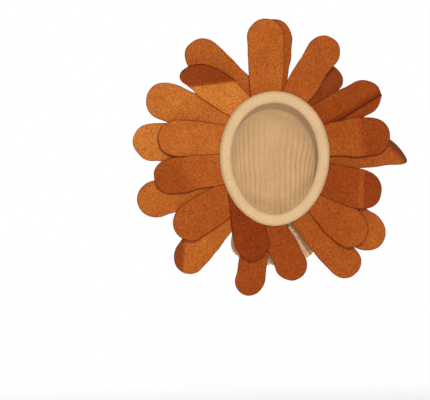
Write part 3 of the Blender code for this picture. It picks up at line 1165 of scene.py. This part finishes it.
@dataclass
class PetalLayers:
    """The two layers of felt petals.

    Attributes:
        oval: The seam that they are sewn to.
        wardrobe: Finishes and trees.
        felt: Thickness of the felt.
        ply_gap: Air between neighbouring plies at the seam.
        piece_gap: Air between pieces.
        plies: Plies in the stack.
        tuck: How far the inner ends reach inside the seam.
        widest_at: Share of the length at which a petal is widest.
        tip_length: Length of the round tip as a share of the width.
        tip_squareness: 2 for an elliptic tip, more for a squarer one.
        tip_end_angle: Angle round the tip at which the sides meet the arc that ends it.
        body_rows: Rows of faces from the seam to the tip's start.
        tip_rows: Rows of faces in the round tip.
        columns: Faces across.
        root_share: Share of the body over which the rows turn to follow the seam.
        edge_round: Radius of the cut edge.
        painted_edge_shade: Painted shade on the cut edge: how light it is painted against the felt's face.
        painted_rim_shade: Painted shade on the face right beside the cut edge: how light it is painted.
        hand_cut: How far the scissors stray from the pattern.
        side_strays: Strays per metre along the sides.
        tip_strays: Strays per metre round the tip.
        sharp_fold: Not used.
        lumps: Low lumps of the felt.
    """

    oval: SeamOval
    wardrobe: Wardrobe
    felt: float = 0.0016
    ply_gap: float = 0.0005
    piece_gap: float = 0.0003
    plies: int = 4
    tuck: float = 0.0070
    widest_at: float = 0.62
    tip_length: float = 0.58
    tip_squareness: float = 2.15
    tip_end_angle: float = 56.0
    body_rows: int = 42
    tip_rows: int = 26
    columns: int = 64
    root_share: float = 0.5
    edge_round: float = 0.00055
    painted_edge_shade: float = 0.45
    painted_rim_shade: float = 0.85
    hand_cut: float = 0.00070
    side_strays: float = 70.0
    tip_strays: float = 90.0
    sharp_fold: float = 50.0
    lumps: Lumps = Lumps(0.00030, 170.0)
    made: list[bpy.types.Object] = field(default_factory=list)

    def ply_front(self, ply: int) -> float:
        """How far behind the seam's plane a ply's front face lies at the roots."""
        return self.piece_gap + (self.plies - 1 - ply) * (self.felt + self.ply_gap)

    def stack_depth(self) -> float:
        """Depth of the whole stack of plies."""
        return self.ply_front(0) + self.felt + self.ply_gap

    def size(self, petal: Petal) -> tuple[float, float]:
        """Length and half width of a petal."""
        cut = CUTS[petal.layer]
        return cut.length * petal.length, cut.width * petal.width / 2

    def axes(self, petal: Petal) -> tuple[Vector, Vector, Vector]:
        """Root, aim and clockwise side of a petal in the XZ plane."""
        aim = math.radians(petal.aim)
        root = self.oval.point(math.radians(petal.root))
        return root, Vector((math.sin(aim), math.cos(aim))), Vector((math.cos(aim), -math.sin(aim)))

    def body_half(self, petal: Petal, share: float) -> float:
        """Half width of a petal without its round tip.

        Args:
            petal: The petal.
            share: Share of its length.

        Returns:
            The half width.
        """
        half = self.size(petal)[1]
        eased = math.sin(min(1.0, share / self.widest_at) * math.pi / 2)
        return half * (petal.foot + (1 - petal.foot) * eased)

    def rows(self, petal: Petal) -> list[tuple[float, float]]:
        """Distance from the root and half width of each row, up to the arc that ends the petal."""
        length, half = self.size(petal)
        tip = self.tip_length * 2 * half
        rows = []
        for row in range(self.body_rows):
            along = (length - tip) * row / self.body_rows
            rows.append((along, self.body_half(petal, along / length)))
        power = 2 / self.tip_squareness
        for row in range(self.tip_rows + 1):
            angle = math.radians(self.tip_end_angle) * row / self.tip_rows
            along = length - tip + tip * math.sin(angle) ** power
            rows.append((along, self.body_half(petal, along / length) * math.cos(angle) ** power))
        return rows

    def grid(self, petal: Petal, trim: float) -> list[list[tuple[float, float]]]:
        """The flat petal.

        Args:
            petal: The petal.
            trim: How much is taken off its sides and tip.

        Returns:
            Rows of (along, across) points, with the inner end cut to the hood's curve.
        """
        length, half_width = self.size(petal)
        tip = self.tip_length * 2 * half_width
        root, aim, side = self.axes(petal)
        rows = self.rows(petal)
        end_along, end_half = rows[-1]
        turning = self.root_share * self.body_rows
        seed = Vector((petal.aim * 0.37, petal.root * 0.21, petal.length))
        grid = []
        for row, (along, half) in enumerate(rows):
            tip_share = max(0, row - self.body_rows) / self.tip_rows
            root_share = max(0.0, 1 - row / turning)
            points = []
            for column in range(self.columns + 1):
                place = 2 * column / self.columns - 1
                across = place * half
                fullness = 1 - abs(place * end_half / half_width) ** self.tip_squareness
                bulge = length - tip + tip * fullness ** (1 / self.tip_squareness) - end_along
                start = 0.0
                if root_share:
                    start = self.oval.reach(root + side * across, aim, self.tuck) * root_share
                edge = Vector((along * self.side_strays, math.copysign(3, place), 0.0))
                stray = self.hand_cut * noise.noise(seed + edge) * abs(place)
                edge = Vector((0.0, across * self.tip_strays, 7.0))
                poke = self.hand_cut * noise.noise(seed + edge) * tip_share
                reach = along + bulge * tip_share ** 2 + start - trim * tip_share + poke
                points.append((reach, across * (1 - (trim - 2 * stray) / half_width)))
            grid.append(points)
        return grid

    def bend(self, point: tuple[float, float, float], petal: Petal, fold: Fold) -> tuple[float, float, float]:
        """Bends a point of a petal about one fold.

        Args:
            point: Its place along, across and behind the flat petal's front.
            petal: The petal.
            fold: The fold.

        Returns:
            The bent place.
        """
        along, across, behind = point
        length, half_width = self.size(petal)
        turn = math.radians(fold.turn)
        normal = (math.cos(turn), math.sin(turn))
        beyond = (along - fold.at_length * length) * normal[0]
        beyond += (across - fold.at_width * half_width) * normal[1]
        if beyond <= 0:
            return point
        sign = math.copysign(1, fold.angle)
        radius = fold.soft * 2 * half_width
        swept = min(beyond / radius, math.radians(abs(fold.angle)))
        straight = beyond - radius * swept
        lever = radius - sign * behind
        reach = lever * math.sin(swept) + straight * math.cos(swept)
        drop = radius - lever * math.cos(swept) + straight * math.sin(swept)
        shift = reach - beyond
        return along + shift * normal[0], across + shift * normal[1], sign * drop

    def place(self, petal: Petal, along: float, across: float, behind: float) -> Vector:
        """Where a point of a flat petal ends up.

        Args:
            petal: The petal.
            along: Distance from the root.
            across: Distance from the middle line, clockwise side positive.
            behind: Depth behind the front face.

        Returns:
            The point in the frame.
        """
        length, half_width = self.size(petal)
        rise = max(0.0, min(1.0, along / length))
        camber = petal.camber * 2 * half_width * (across / half_width) ** 2 * rise
        point = (along, across, behind)
        for fold in reversed(FOLDS.get(petal.name, ())):
            point = self.bend(point, petal, fold)
        root, aim, side = self.axes(petal)
        flat = root + aim * point[0] + side * point[1]
        lean = math.tan(math.radians(CUTS[petal.layer].lean)) * self.oval.outside(flat)
        return Vector((flat.x, self.ply_front(petal.ply) + point[2] + lean + camber, flat.y))

    def tone(self, petal: Petal, along: float, across: float) -> float:
        """How light the felt is painted at a place on a petal, with the painted shade and highlights of its
        lines.

        Args:
            petal: The petal.
            along: Distance from the root.
            across: Distance from the middle line, clockwise side positive.

        Returns:
            The tone, where 1 is the plain dye.
        """
        length, half_width = self.size(petal)
        tone = petal.tone
        # Each line lays painted shade or a painted highlight on the felt beyond it.
        for nap in PAINTED_SHADES.get(petal.name, ()):
            turn = math.radians(nap.turn)
            beyond = (along - nap.at_length * length) * math.cos(turn)
            beyond += (across - nap.at_width * half_width) * math.sin(turn)
            share = max(0.0, min(1.0, 0.5 + beyond / (nap.soft * 2 * half_width)))
            tone *= 1 + (nap.tone - 1) * share * share * (3 - 2 * share)
        return tone

    def shell(self, petal: Petal) -> Shell:
        """The felt sheet of a petal, with rounded cut edges.

        Args:
            petal: The petal.

        Returns:
            The closed sheet.
        """
        trimmed = self.grid(petal, self.edge_round)
        full = self.grid(petal, 0.0)
        shell = Shell()
        across_count = self.columns + 1
        last_row = len(full) - 1
        rim = list(range(across_count))
        rim += [row * across_count + self.columns for row in range(1, last_row + 1)]
        rim += [last_row * across_count + column for column in range(self.columns - 1, -1, -1)]
        rim += [row * across_count for row in range(last_row - 1, 0, -1)]
        for depth in (0.0, self.felt):
            shell.points += [self.place(petal, *spot, depth) for row in trimmed for spot in row]
        size = across_count * (last_row + 1)
        flat = [spot for row in full for spot in row]
        for depth in (self.edge_round, self.felt - self.edge_round):
            shell.points += [self.place(petal, *flat[index], depth) for index in rim]
        for row in range(last_row):
            for column in range(self.columns):
                corner = row * across_count + column
                quad = (corner, corner + 1, corner + across_count + 1, corner + across_count)
                shell.faces.append(quad)
                shell.faces.append(tuple(size + index for index in reversed(quad)))
        first_edge = 2 * size
        second_edge = first_edge + len(rim)
        for index, here in enumerate(rim):
            following = (index + 1) % len(rim)
            after = rim[following]
            front, front_after = first_edge + index, first_edge + following
            rear, rear_after = second_edge + index, second_edge + following
            shell.faces.append((after, here, front, front_after))
            shell.faces.append((front_after, front, rear, rear_after))
            shell.faces.append((rear_after, rear, size + here, size + after))
        face_tones = [self.tone(petal, *spot) for row in trimmed for spot in row]
        # Painted shade: the cut edge and the face right beside it are painted darker, as a dark line round
        # each petal.
        edge_tones = [face_tones[index] * self.painted_edge_shade for index in rim]
        for index in rim:
            face_tones[index] *= self.painted_rim_shade
        shell.numbers["tone"] = face_tones * 2 + edge_tones * 2
        return shell

    def build(self) -> None:
        for number, petal in enumerate(PETALS):
            item = self.shell(petal).piece(f"felt_{petal.name}")
            self.wardrobe.roughen(item, replace(self.lumps, seed=float(number)), self.wardrobe.felt)
            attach(item, BODY)
            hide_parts(petal.name)
            length, half_width = self.size(petal)
            cut = (2 * half_width, length + 2 * self.tuck)
            area = min(flat_area(self.grid(petal, 0.0)), cut[0] * cut[1])
            self.made.append(item)
            LOG.info("%s: cut %.1f by %.1f mm", item.name, cut[0] * 1000, cut[1] * 1000)


@dataclass
class FaceBand:
    """The padded fleece band round the face opening.

    Attributes:
        oval: The seam it is sewn to.
        wardrobe: Finishes and trees.
        width: From the seam inwards.
        depth: From its flat back to its crown.
        segments: Faces round the opening.
        pucker_count: Stitches that draw its outer edge in.
        pucker: How far they draw it in.
        pucker_reach: Share of the width over which they draw it.
        lumps: Low lumps of the fleece.
        section: Corners of its section from the inner edge over the front to the outer edge, as
            (inward, front) shares of width and depth.
    """

    oval: SeamOval
    wardrobe: Wardrobe
    width: float = 0.0095
    depth: float = 0.0046
    segments: int = 360
    pucker_count: int = 96
    pucker: float = 0.00022
    pucker_reach: float = 0.3
    lumps: Lumps = Lumps(0.00055, 75.0, 3.0)
    section: tuple[tuple[float, float], ...] = (
        (0.92, 0.00),
        (1.00, 0.22),
        (0.96, 0.60),
        (0.74, 0.92),
        (0.42, 1.00),
        (0.14, 0.86),
        (-0.02, 0.42),
        (0.00, 0.00),
    )

    def build(self) -> bpy.types.Object:
        """Makes the band.

        Returns:
            The padded piece.
        """
        shell = Shell()
        curve = smooth_loop(self.section, 5)
        for inward, front in curve:
            front = max(0.0, front)
            hold = max(0.0, 1 - inward / self.pucker_reach) * min(1.0, front * 2)
            for index in range(self.segments):
                clock = math.tau * index / self.segments
                drawn = self.pucker * hold * (0.5 + 0.5 * math.cos(clock * self.pucker_count))
                spot = self.oval.point(clock, inward * self.width + drawn)
                shell.points.append(Vector((spot.x, -front * self.depth + drawn * 0.5, spot.y)))
        shell.tube(len(curve), self.segments)
        item = shell.piece("padded_face_band")
        self.wardrobe.roughen(item, self.lumps, self.wardrobe.fleece)
        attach(item, BODY)
        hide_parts("face_band")
        LOG.info("%s: %.1f mm wide, %.1f mm deep", item.name, self.width * 1000, self.depth * 1000)
        return item


@dataclass(frozen=True)
class Handle:
    """A middle handle of one of the hood's side curves, as shares of a depth and a rise."""

    depth: float
    rise: float

    def scaled(self, depth: float, rise: float) -> Vector:
        """The handle's place for a full depth and a full rise."""
        return Vector((depth * self.depth, rise * self.rise))


@dataclass
class Hood:
    """The fleece snood behind the petals, open at the face and at the neck.

    Attributes:
        oval: The seam it is sewn to.
        wardrobe: Finishes and trees.
        throat_depth: How far back it passes straight through the petals.
        throat_inset: How far inside the seam its outer face lies there.
        piece_gap: Air between pieces.
        wall: Thickness of the fleece.
        nape_depth: How far behind the seam the nape's edge lies.
        crown_depth: How far behind the seam the crown turns down.
        chin_depth: How far behind the seam the chin's edge lies.
        chin_drop: How far below the throat the chin's edge lies.
        neck_width: Width at the neck.
        neck_reach: From the chin's edge to the nape's edge.
        cheek_swell: How far the cheeks stand out.
        cheek_swell_end: Share of the length at which that ends.
        gathers: Gathers round the neck.
        gather_depth: Their depth at the neck.
        gathers_start: Share of the length at which they begin.
        crown_handle: First handle of the upper side curve.
        nape_handle: Its second handle.
        chin_handle: First handle of the lower side curve.
        collar_handle: Its second handle.
        rings: Rings of faces from the petals to the neck.
        points_per_gather: Points round each gather.
        lumps: Low lumps of the fleece.
        cut_width: Width of the cloth as cut, before it is gathered; not used.
        seam_share: Length of the cloth as cut, with its seams, as a share of what shows; not used.
    """

    oval: SeamOval
    wardrobe: Wardrobe
    throat_depth: float
    throat_inset: float = 0.0074
    piece_gap: float = 0.0003
    wall: float = 0.0020
    nape_depth: float = 0.0780
    crown_depth: float = 0.0560
    chin_depth: float = 0.0260
    chin_drop: float = 0.0370
    neck_width: float = 0.0760
    neck_reach: float = 0.0610
    cheek_swell: float = 0.0020
    cheek_swell_end: float = 0.70
    gathers: int = 44
    gather_depth: float = 0.0027
    gathers_start: float = 0.22
    crown_handle: Handle = Handle(0.85, 1.06)
    nape_handle: Handle = Handle(1.00, 0.45)
    chin_handle: Handle = Handle(0.45, 0.00)
    collar_handle: Handle = Handle(0.80, 0.55)
    rings: int = 54
    points_per_gather: int = 8
    lumps: Lumps = Lumps(0.0005, 90.0, 8.0)
    cut_width: float = 0.30
    seam_share: float = 1.12

    def around_count(self) -> int:
        """Points in each ring."""
        return self.gathers * self.points_per_gather

    @staticmethod
    def curve(corners: Sequence[Vector], share: float) -> Vector:
        """A point on a cubic curve.

        Args:
            corners: Start, two handles and end.
            share: How far along it.

        Returns:
            The point.
        """
        rest = 1 - share
        weights = (rest ** 3, 3 * rest ** 2 * share, 3 * rest * share ** 2, share ** 3)
        point = Vector((0.0, 0.0))
        for corner, weight in zip(corners, weights):
            point += corner * weight
        return point

    def section(self, share: float) -> tuple[Vector, Vector, float]:
        """The hood's outer section.

        Args:
            share: Share of its length from the petals to the neck.

        Returns:
            Its centre and half height in the YZ plane, and its half width.
        """
        half_height = self.oval.height / 2 - self.throat_inset
        half_width = self.oval.width / 2 - self.throat_inset
        brow = Vector((self.throat_depth, half_height))
        chin = Vector((self.throat_depth, -half_height))
        collar = Vector((self.chin_depth, -half_height - self.chin_drop))
        back = self.nape_depth - self.chin_depth
        nape = collar + Vector((back, math.sqrt(self.neck_reach ** 2 - back ** 2)))
        over_crown = self.crown_handle.scaled(self.crown_depth, half_height)
        down_nape = self.nape_handle.scaled(self.nape_depth, half_height)
        under_chin = chin + self.chin_handle.scaled(self.chin_depth, -self.chin_drop)
        to_collar = self.collar_handle.scaled(self.chin_depth, -self.chin_drop) - Vector((0.0, half_height))
        top = self.curve((brow, over_crown, down_nape, nape), share)
        bottom = self.curve((chin, under_chin, to_collar, collar), share)
        cheek = self.cheek_swell * math.sin(math.pi * min(1.0, share / self.cheek_swell_end))
        width = half_width + (self.neck_width / 2 - half_width) * share ** 2 + cheek
        return (top + bottom) / 2, (top - bottom) / 2, width

    def ring_point(self, share: float, clock: float, inset: float, shift: Vector | None = None) -> Vector:
        """A point of a leaning ring.

        Args:
            share: Share of the hood's length.
            clock: Angle round the ring in radians.
            inset: How far inside the outer face it lies.
            shift: A move of the ring's centre in the YZ plane.

        Returns:
            The point in the frame.
        """
        centre, half_height, half_width = self.section(share)
        if shift is not None:
            centre = centre + shift
        tall = half_height.length
        rise = half_height / tall * (tall - inset) * math.cos(clock)
        swell = 1 + self.oval.brow_swell * (1 - share) * math.cos(clock)
        return Vector(((half_width - inset) * swell * math.sin(clock), centre.x + rise.x, centre.y + rise.y))

    def throat_point(self, clock: float, inset: float) -> Vector:
        """A point of the hood's front edge."""
        spot = self.oval.point(clock, self.throat_inset + inset)
        return Vector((spot.x, self.piece_gap, spot.y))

    def build(self) -> bpy.types.Object:
        """Makes the hood.

        Returns:
            The fleece sheet.
        """
        shell = Shell()
        count = self.around_count()
        shares = [index / self.rings for index in range(self.rings + 1)]
        around, pull, outward = [], [], []
        stations = [(None, 0.0)] + [(share, 0.0) for share in shares]
        stations += [(share, self.wall) for share in reversed(shares)] + [(None, self.wall)]
        for share, inset in stations:
            growth = 0.0
            if share is not None:
                growth = max(0.0, (share - self.gathers_start) / (1 - self.gathers_start))
            for index in range(count):
                clock = math.tau * index / count
                if share is None:
                    point = self.throat_point(clock, inset)
                    out = point - self.throat_point(clock, inset + self.wall)
                else:
                    point = self.ring_point(share, clock, inset)
                    out = point - self.ring_point(share, clock, inset + self.wall)
                shell.points.append(point)
                around.append(index / count)
                pull.append(growth)
                outward.append(out.normalized())
        shell.tube(len(stations), count)
        shell.numbers.update(around=around, pull=pull)
        shell.vectors["outward"] = outward
        item = shell.piece("fleece_hood")
        self.wardrobe.draw_in(item, self.gathers, self.gather_depth)
        self.wardrobe.roughen(item, self.lumps, self.wardrobe.fleece)
        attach(item, BODY)
        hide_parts("hood")
        return item


@dataclass
class NeckHem:
    """The gathered elastic casing round the neck opening.

    Attributes:
        hood: The hood whose edge it continues.
        wardrobe: Finishes and trees.
        width: From the hood's edge outwards.
        depth: From its inner to its outer face.
        lumps: Low lumps of the fleece.
        section: Corners of its section, as (along, out) shares of width and depth.
    """

    hood: Hood
    wardrobe: Wardrobe
    width: float = 0.0085
    depth: float = 0.0036
    lumps: Lumps = Lumps(0.0004, 140.0, 6.0)
    section: tuple[tuple[float, float], ...] = (
        (0.00, 0.28),
        (0.22, 0.50),
        (0.74, 0.50),
        (1.00, 0.20),
        (1.00, -0.20),
        (0.74, -0.50),
        (0.22, -0.50),
        (0.00, -0.28),
    )

    def shift(self, along: float) -> Vector:
        """How far a ring of the casing lies from the hood's edge."""
        up = self.hood.section(1.0)[1].normalized()
        return Vector((up.y, -up.x)) * (self.hood.piece_gap + along * self.width)

    def build(self) -> bpy.types.Object:
        """Makes the casing.

        Returns:
            The padded piece.
        """
        shell = Shell()
        count = self.hood.around_count()
        curve = smooth_loop(self.section, 4)
        around, pull, outward = [], [], []
        for along, out in curve:
            shift = self.shift(along)
            inset = self.hood.wall / 2 - out * self.depth
            for index in range(count):
                clock = math.tau * index / count
                point = self.hood.ring_point(1.0, clock, inset, shift)
                way = point - self.hood.ring_point(1.0, clock, inset + self.depth, shift)
                shell.points.append(point)
                around.append(index / count)
                pull.append(1.0)
                outward.append(way.normalized())
        shell.tube(len(curve), count)
        shell.numbers.update(around=around, pull=pull)
        shell.vectors["outward"] = outward
        item = shell.piece("gathered_neck_hem")
        self.wardrobe.draw_in(item, self.hood.gathers, self.hood.gather_depth)
        self.wardrobe.roughen(item, self.lumps, self.wardrobe.fleece)
        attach(item, BODY)
        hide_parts("neck_hem")
        LOG.info("%s: %.1f mm wide, %.1f mm deep", item.name, self.width * 1000, self.depth * 1000)
        return item


@dataclass
class Stitching:
    """The rows of stitches that hold the cloths together.

    Attributes:
        wardrobe: Finishes and trees.
        thickness: Thickness of the thread.
        samples: Points in each path.
        band_stitch: Length of a stitch at the band.
        casing_stitch: Length of a stitch at the casing.
        casing_count: Stitches round the casing.
    """

    wardrobe: Wardrobe
    thickness: float = 0.00045
    samples: int = 240
    band_stitch: float = 0.0022
    casing_stitch: float = 0.0015
    casing_count: int = 88

    def row(
        self, name: str, path: Callable[[float], Vector], cloth: bpy.types.Object, count: int, length: float
    ) -> bpy.types.Object:
        """Makes one closed row of stitches.

        Args:
            name: The row's name.
            path: Gives the path's point at an angle in radians.
            cloth: The cloth that the stitches lie on.
            count: Stitches in the row.
            length: Length of a stitch.

        Returns:
            The stitches as one mesh.
        """
        points = [tuple(path(math.tau * index / self.samples)) for index in range(self.samples)]
        edges = [(index, (index + 1) % self.samples) for index in range(self.samples)]
        mesh = bpy.data.meshes.new(name)
        mesh.from_pydata(points, edges, [])
        item = bpy.data.objects.new(name, mesh)
        bpy.context.scene.collection.objects.link(item)
        dress(
            item,
            self.wardrobe.stitches,
            {
                "Cloth": cloth,
                "Count": count,
                "Length": length,
                "Thickness": self.thickness,
                "Finish": self.wardrobe.thread,
            },
        )
        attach(item, BODY)
        LOG.info("%s: %d stitches of %.1f mm", name, count, length * 1000)
        return item

    def build(self, band: bpy.types.Object, face: FaceBand, casing: bpy.types.Object, hem: NeckHem) -> None:
        """Makes the row round the band and the row round the casing.

        Args:
            band: The padded band.
            face: Its sizes.
            casing: The casing.
            hem: Its sizes.
        """

        def seam_path(clock: float) -> Vector:
            """The ditch at the band's outer edge."""
            spot = face.oval.point(clock, 0.02 * face.width)
            return Vector((spot.x, -0.22 * face.depth, spot.y))

        def casing_path(clock: float) -> Vector:
            """The casing's upper edge, outside."""
            inset = hem.hood.wall / 2 - 0.5 * hem.depth
            return hem.hood.ring_point(1.0, clock, inset, hem.shift(0.16))

        self.row("band_seam_stitches", seam_path, band, face.pucker_count, self.band_stitch)
        self.row("casing_stitches", casing_path, casing, self.casing_count, self.casing_stitch)


@dataclass(frozen=True)
class Fibres:
    """The loose fibres of one cloth.

    Attributes:
        name: The name of their mesh.
        slot: The material slot that they take their finish from.
        density: Fibres per square metre.
        length: Longest fibre.
        thickness: Thickness of a fibre.
        seed: Picks where they stand.
    """

    name: str
    slot: Slot
    density: float
    length: float
    thickness: float
    seed: int = 11


@dataclass
class Pile:
    """Loose fibres of both cloths.

    Attributes:
        wardrobe: Finishes and trees.
        felt: Fibres of the petals.
        fleece: Fibres of band, hood and casing.
    """

    wardrobe: Wardrobe
    felt: Fibres = Fibres("felt_fibres", Slot.FELT, 80000.0, 0.0012, 0.00004)
    fleece: Fibres = Fibres("fleece_fibres", Slot.FLEECE, 110000.0, 0.0009, 0.000045)

    def cover(self, fibres: Fibres, cloths: Sequence[bpy.types.Object]) -> bpy.types.Object:
        """Makes the fibres of some pieces of cloth as one mesh.

        Args:
            fibres: What they are like.
            cloths: The pieces.

        Returns:
            The fibres.
        """
        shell = Shell()
        tones: list[float] = []
        for cloth in cloths:
            start = len(shell.points)
            shell.points += [vertex.co.copy() for vertex in cloth.data.vertices]
            shell.faces += [tuple(start + index for index in face.vertices) for face in cloth.data.polygons]
            # The fibres take the cloth's tone, with its painted light and shade.
            tone = cloth.data.attributes.get("tone")
            count = len(cloth.data.vertices)
            tones += [spot.value for spot in tone.data] if tone else [1.0] * count
        shell.numbers["tone"] = tones
        item = shell.piece(fibres.name)
        finish = self.wardrobe.felt if fibres.slot is Slot.FELT else self.wardrobe.fleece
        dress(
            item,
            self.wardrobe.fuzz,
            {
                "Fibres per square metre": fibres.density,
                "Length": fibres.length,
                "Thickness": fibres.thickness,
                "Seed": fibres.seed,
                "Finish": finish,
            },
        )
        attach(item, BODY)
        LOG.info("%s: %d faces", item.name, len(item.data.polygons))
        return item


@dataclass(frozen=True)
class SquareLight:
    """A soft square light that points at the middle of the opening.

    Attributes:
        name: Its name.
        place: Where it is.
        size: Width of its square.
        power: Power in watts.
        colour: Its colour.
    """

    name: str
    place: Triple
    size: float
    power: float
    colour: Colour

    def add(self) -> None:
        """Puts the light in the scene, out of the camera's sight."""
        lamp = bpy.data.lights.new(self.name, "AREA")
        lamp.shape = "SQUARE"
        lamp.size = self.size
        lamp.energy = self.power
        lamp.color = self.colour
        item = bpy.data.objects.new(self.name, lamp)
        item.visible_camera = False
        item.location = self.place
        item.rotation_euler = (-Vector(self.place)).to_track_quat("-Z", "Y").to_euler()
        bpy.context.scene.collection.objects.link(item)


@dataclass
class Studio:
    """Floor, light and camera.

    Attributes:
        wardrobe: Finishes.
        floor_level: Height of the floor, below the view.
        floor_radius: How far the paper reaches.
        scale: Metres for each of the picture's pixels at the seam.
        centre: The opening's middle in the picture.
        picture: The picture's width and height.
        distance: From the camera to the seam.
        mid_depth: How far behind the seam the scale holds, about the middle of the petals' depth.
        sky: Strength of the light from all round.
        overhead_power: Strength of the wide light above.
        overhead_angle: How wide it is, in degrees.
        lights: The flash near the lens, its fill from below and a light behind.
    """

    wardrobe: Wardrobe
    floor_level: float = -0.26
    floor_radius: float = 1.1
    scale: float = 0.0009
    centre: tuple[float, float] = (274.3, 158.8)
    picture: tuple[int, int] = (430, 400)
    distance: float = 2.2
    mid_depth: float = 0.010
    sky: float = 0.26
    overhead_power: float = 0.9
    overhead_angle: float = 50.0
    lights: tuple[SquareLight, ...] = (
        SquareLight("key", (0.07, -2.1, 0.30), 0.05, 25.8, (1.0, 0.985, 0.96)),
        SquareLight("lens_fill", (0.0, -2.15, -0.42), 0.12, 6.5, (1.0, 0.985, 0.96)),
        SquareLight("rear", (-0.5, 2.1, 0.6), 0.9, 24.0, (1.0, 0.99, 0.97)),
    )

    def floor(self) -> None:
        """Lays a round sheet of white paper, wide enough for the mane's shadow."""
        mesh = bpy.data.meshes.new("studio_floor")
        turns = [math.tau * index / 96 for index in range(96)]
        rim = [(math.cos(turn) * self.floor_radius, math.sin(turn) * self.floor_radius) for turn in turns]
        mesh.from_pydata([(x, y, self.floor_level) for x, y in rim], [], [tuple(range(len(rim)))])
        mesh.materials.append(self.wardrobe.paper)
        item = bpy.data.objects.new("studio_floor", mesh)
        bpy.context.scene.collection.objects.link(item)

    def show_white(self, world: bpy.types.World) -> None:
        """Keeps the backdrop white while its light stays soft.

        Args:
            world: The studio's surroundings.
        """
        graph = Graph(world.node_tree)
        lit = world.node_tree.nodes["Background"]
        seen = graph.add("ShaderNodeBackground", {"Color": (1.0, 1.0, 1.0, 1.0), "Strength": 1.0})
        ray = graph.add("ShaderNodeLightPath").outputs["Is Camera Ray"]
        either = graph.add("ShaderNodeMixShader", {0: ray, 1: lit.outputs[0], 2: seen.outputs[0]})
        graph.feed(world.node_tree.nodes["World Output"], "Surface", either.outputs[0])

    def overhead(self) -> None:
        """Adds the wide soft light above, which keeps the paper white as far as it shows."""
        lamp = bpy.data.lights.new("overhead", "SUN")
        lamp.energy = self.overhead_power
        lamp.angle = math.radians(self.overhead_angle)
        item = bpy.data.objects.new("overhead", lamp)
        bpy.context.scene.collection.objects.link(item)

    def build(self) -> None:
        """Sets up the floor, the world, the lights and the camera."""
        self.floor()
        world = bpy.data.worlds.new("studio")
        world.use_nodes = True
        sky = world.node_tree.nodes["Background"]
        sky.inputs["Color"].default_value = (1.0, 1.0, 1.0, 1.0)
        sky.inputs["Strength"].default_value = self.sky
        self.show_white(world)
        bpy.context.scene.world = world
        for light in self.lights:
            light.add()
        self.overhead()
        bpy.context.scene.view_settings.view_transform = "Standard"
        lens = bpy.data.cameras.new("camera")
        camera = bpy.data.objects.new("camera", lens)
        width, height = self.picture
        across = (width / 2 - self.centre[0]) * self.scale
        up = (self.centre[1] - height / 2) * self.scale
        camera.location = (across, -self.distance, up)
        camera.rotation_euler = (math.radians(90), 0.0, 0.0)
        lens.lens = lens.sensor_width * (self.distance + self.mid_depth) / (width * self.scale)
        lens.clip_end = 50.0
        bpy.context.scene.collection.objects.link(camera)
        bpy.context.scene.camera = camera


def main() -> None:
    """Builds the mane, piece by piece, and its studio."""
    logging.basicConfig(level=logging.INFO, format="%(message)s")
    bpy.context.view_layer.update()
    wardrobe = Wardrobe()
    oval = SeamOval()
    petals = PetalLayers(oval, wardrobe)
    petals.build()
    face = FaceBand(oval, wardrobe)
    band = face.build()
    snood = Hood(oval, wardrobe, throat_depth=petals.stack_depth())
    hood = snood.build()
    hem = NeckHem(snood, wardrobe)
    casing = hem.build()
    Stitching(wardrobe).build(band, face, casing, hem)
    pile = Pile(wardrobe)
    pile.cover(pile.felt, petals.made)
    pile.cover(pile.fleece, [band, hood, casing])
    Studio(wardrobe).build()


if __name__ == "__main__":
    main()
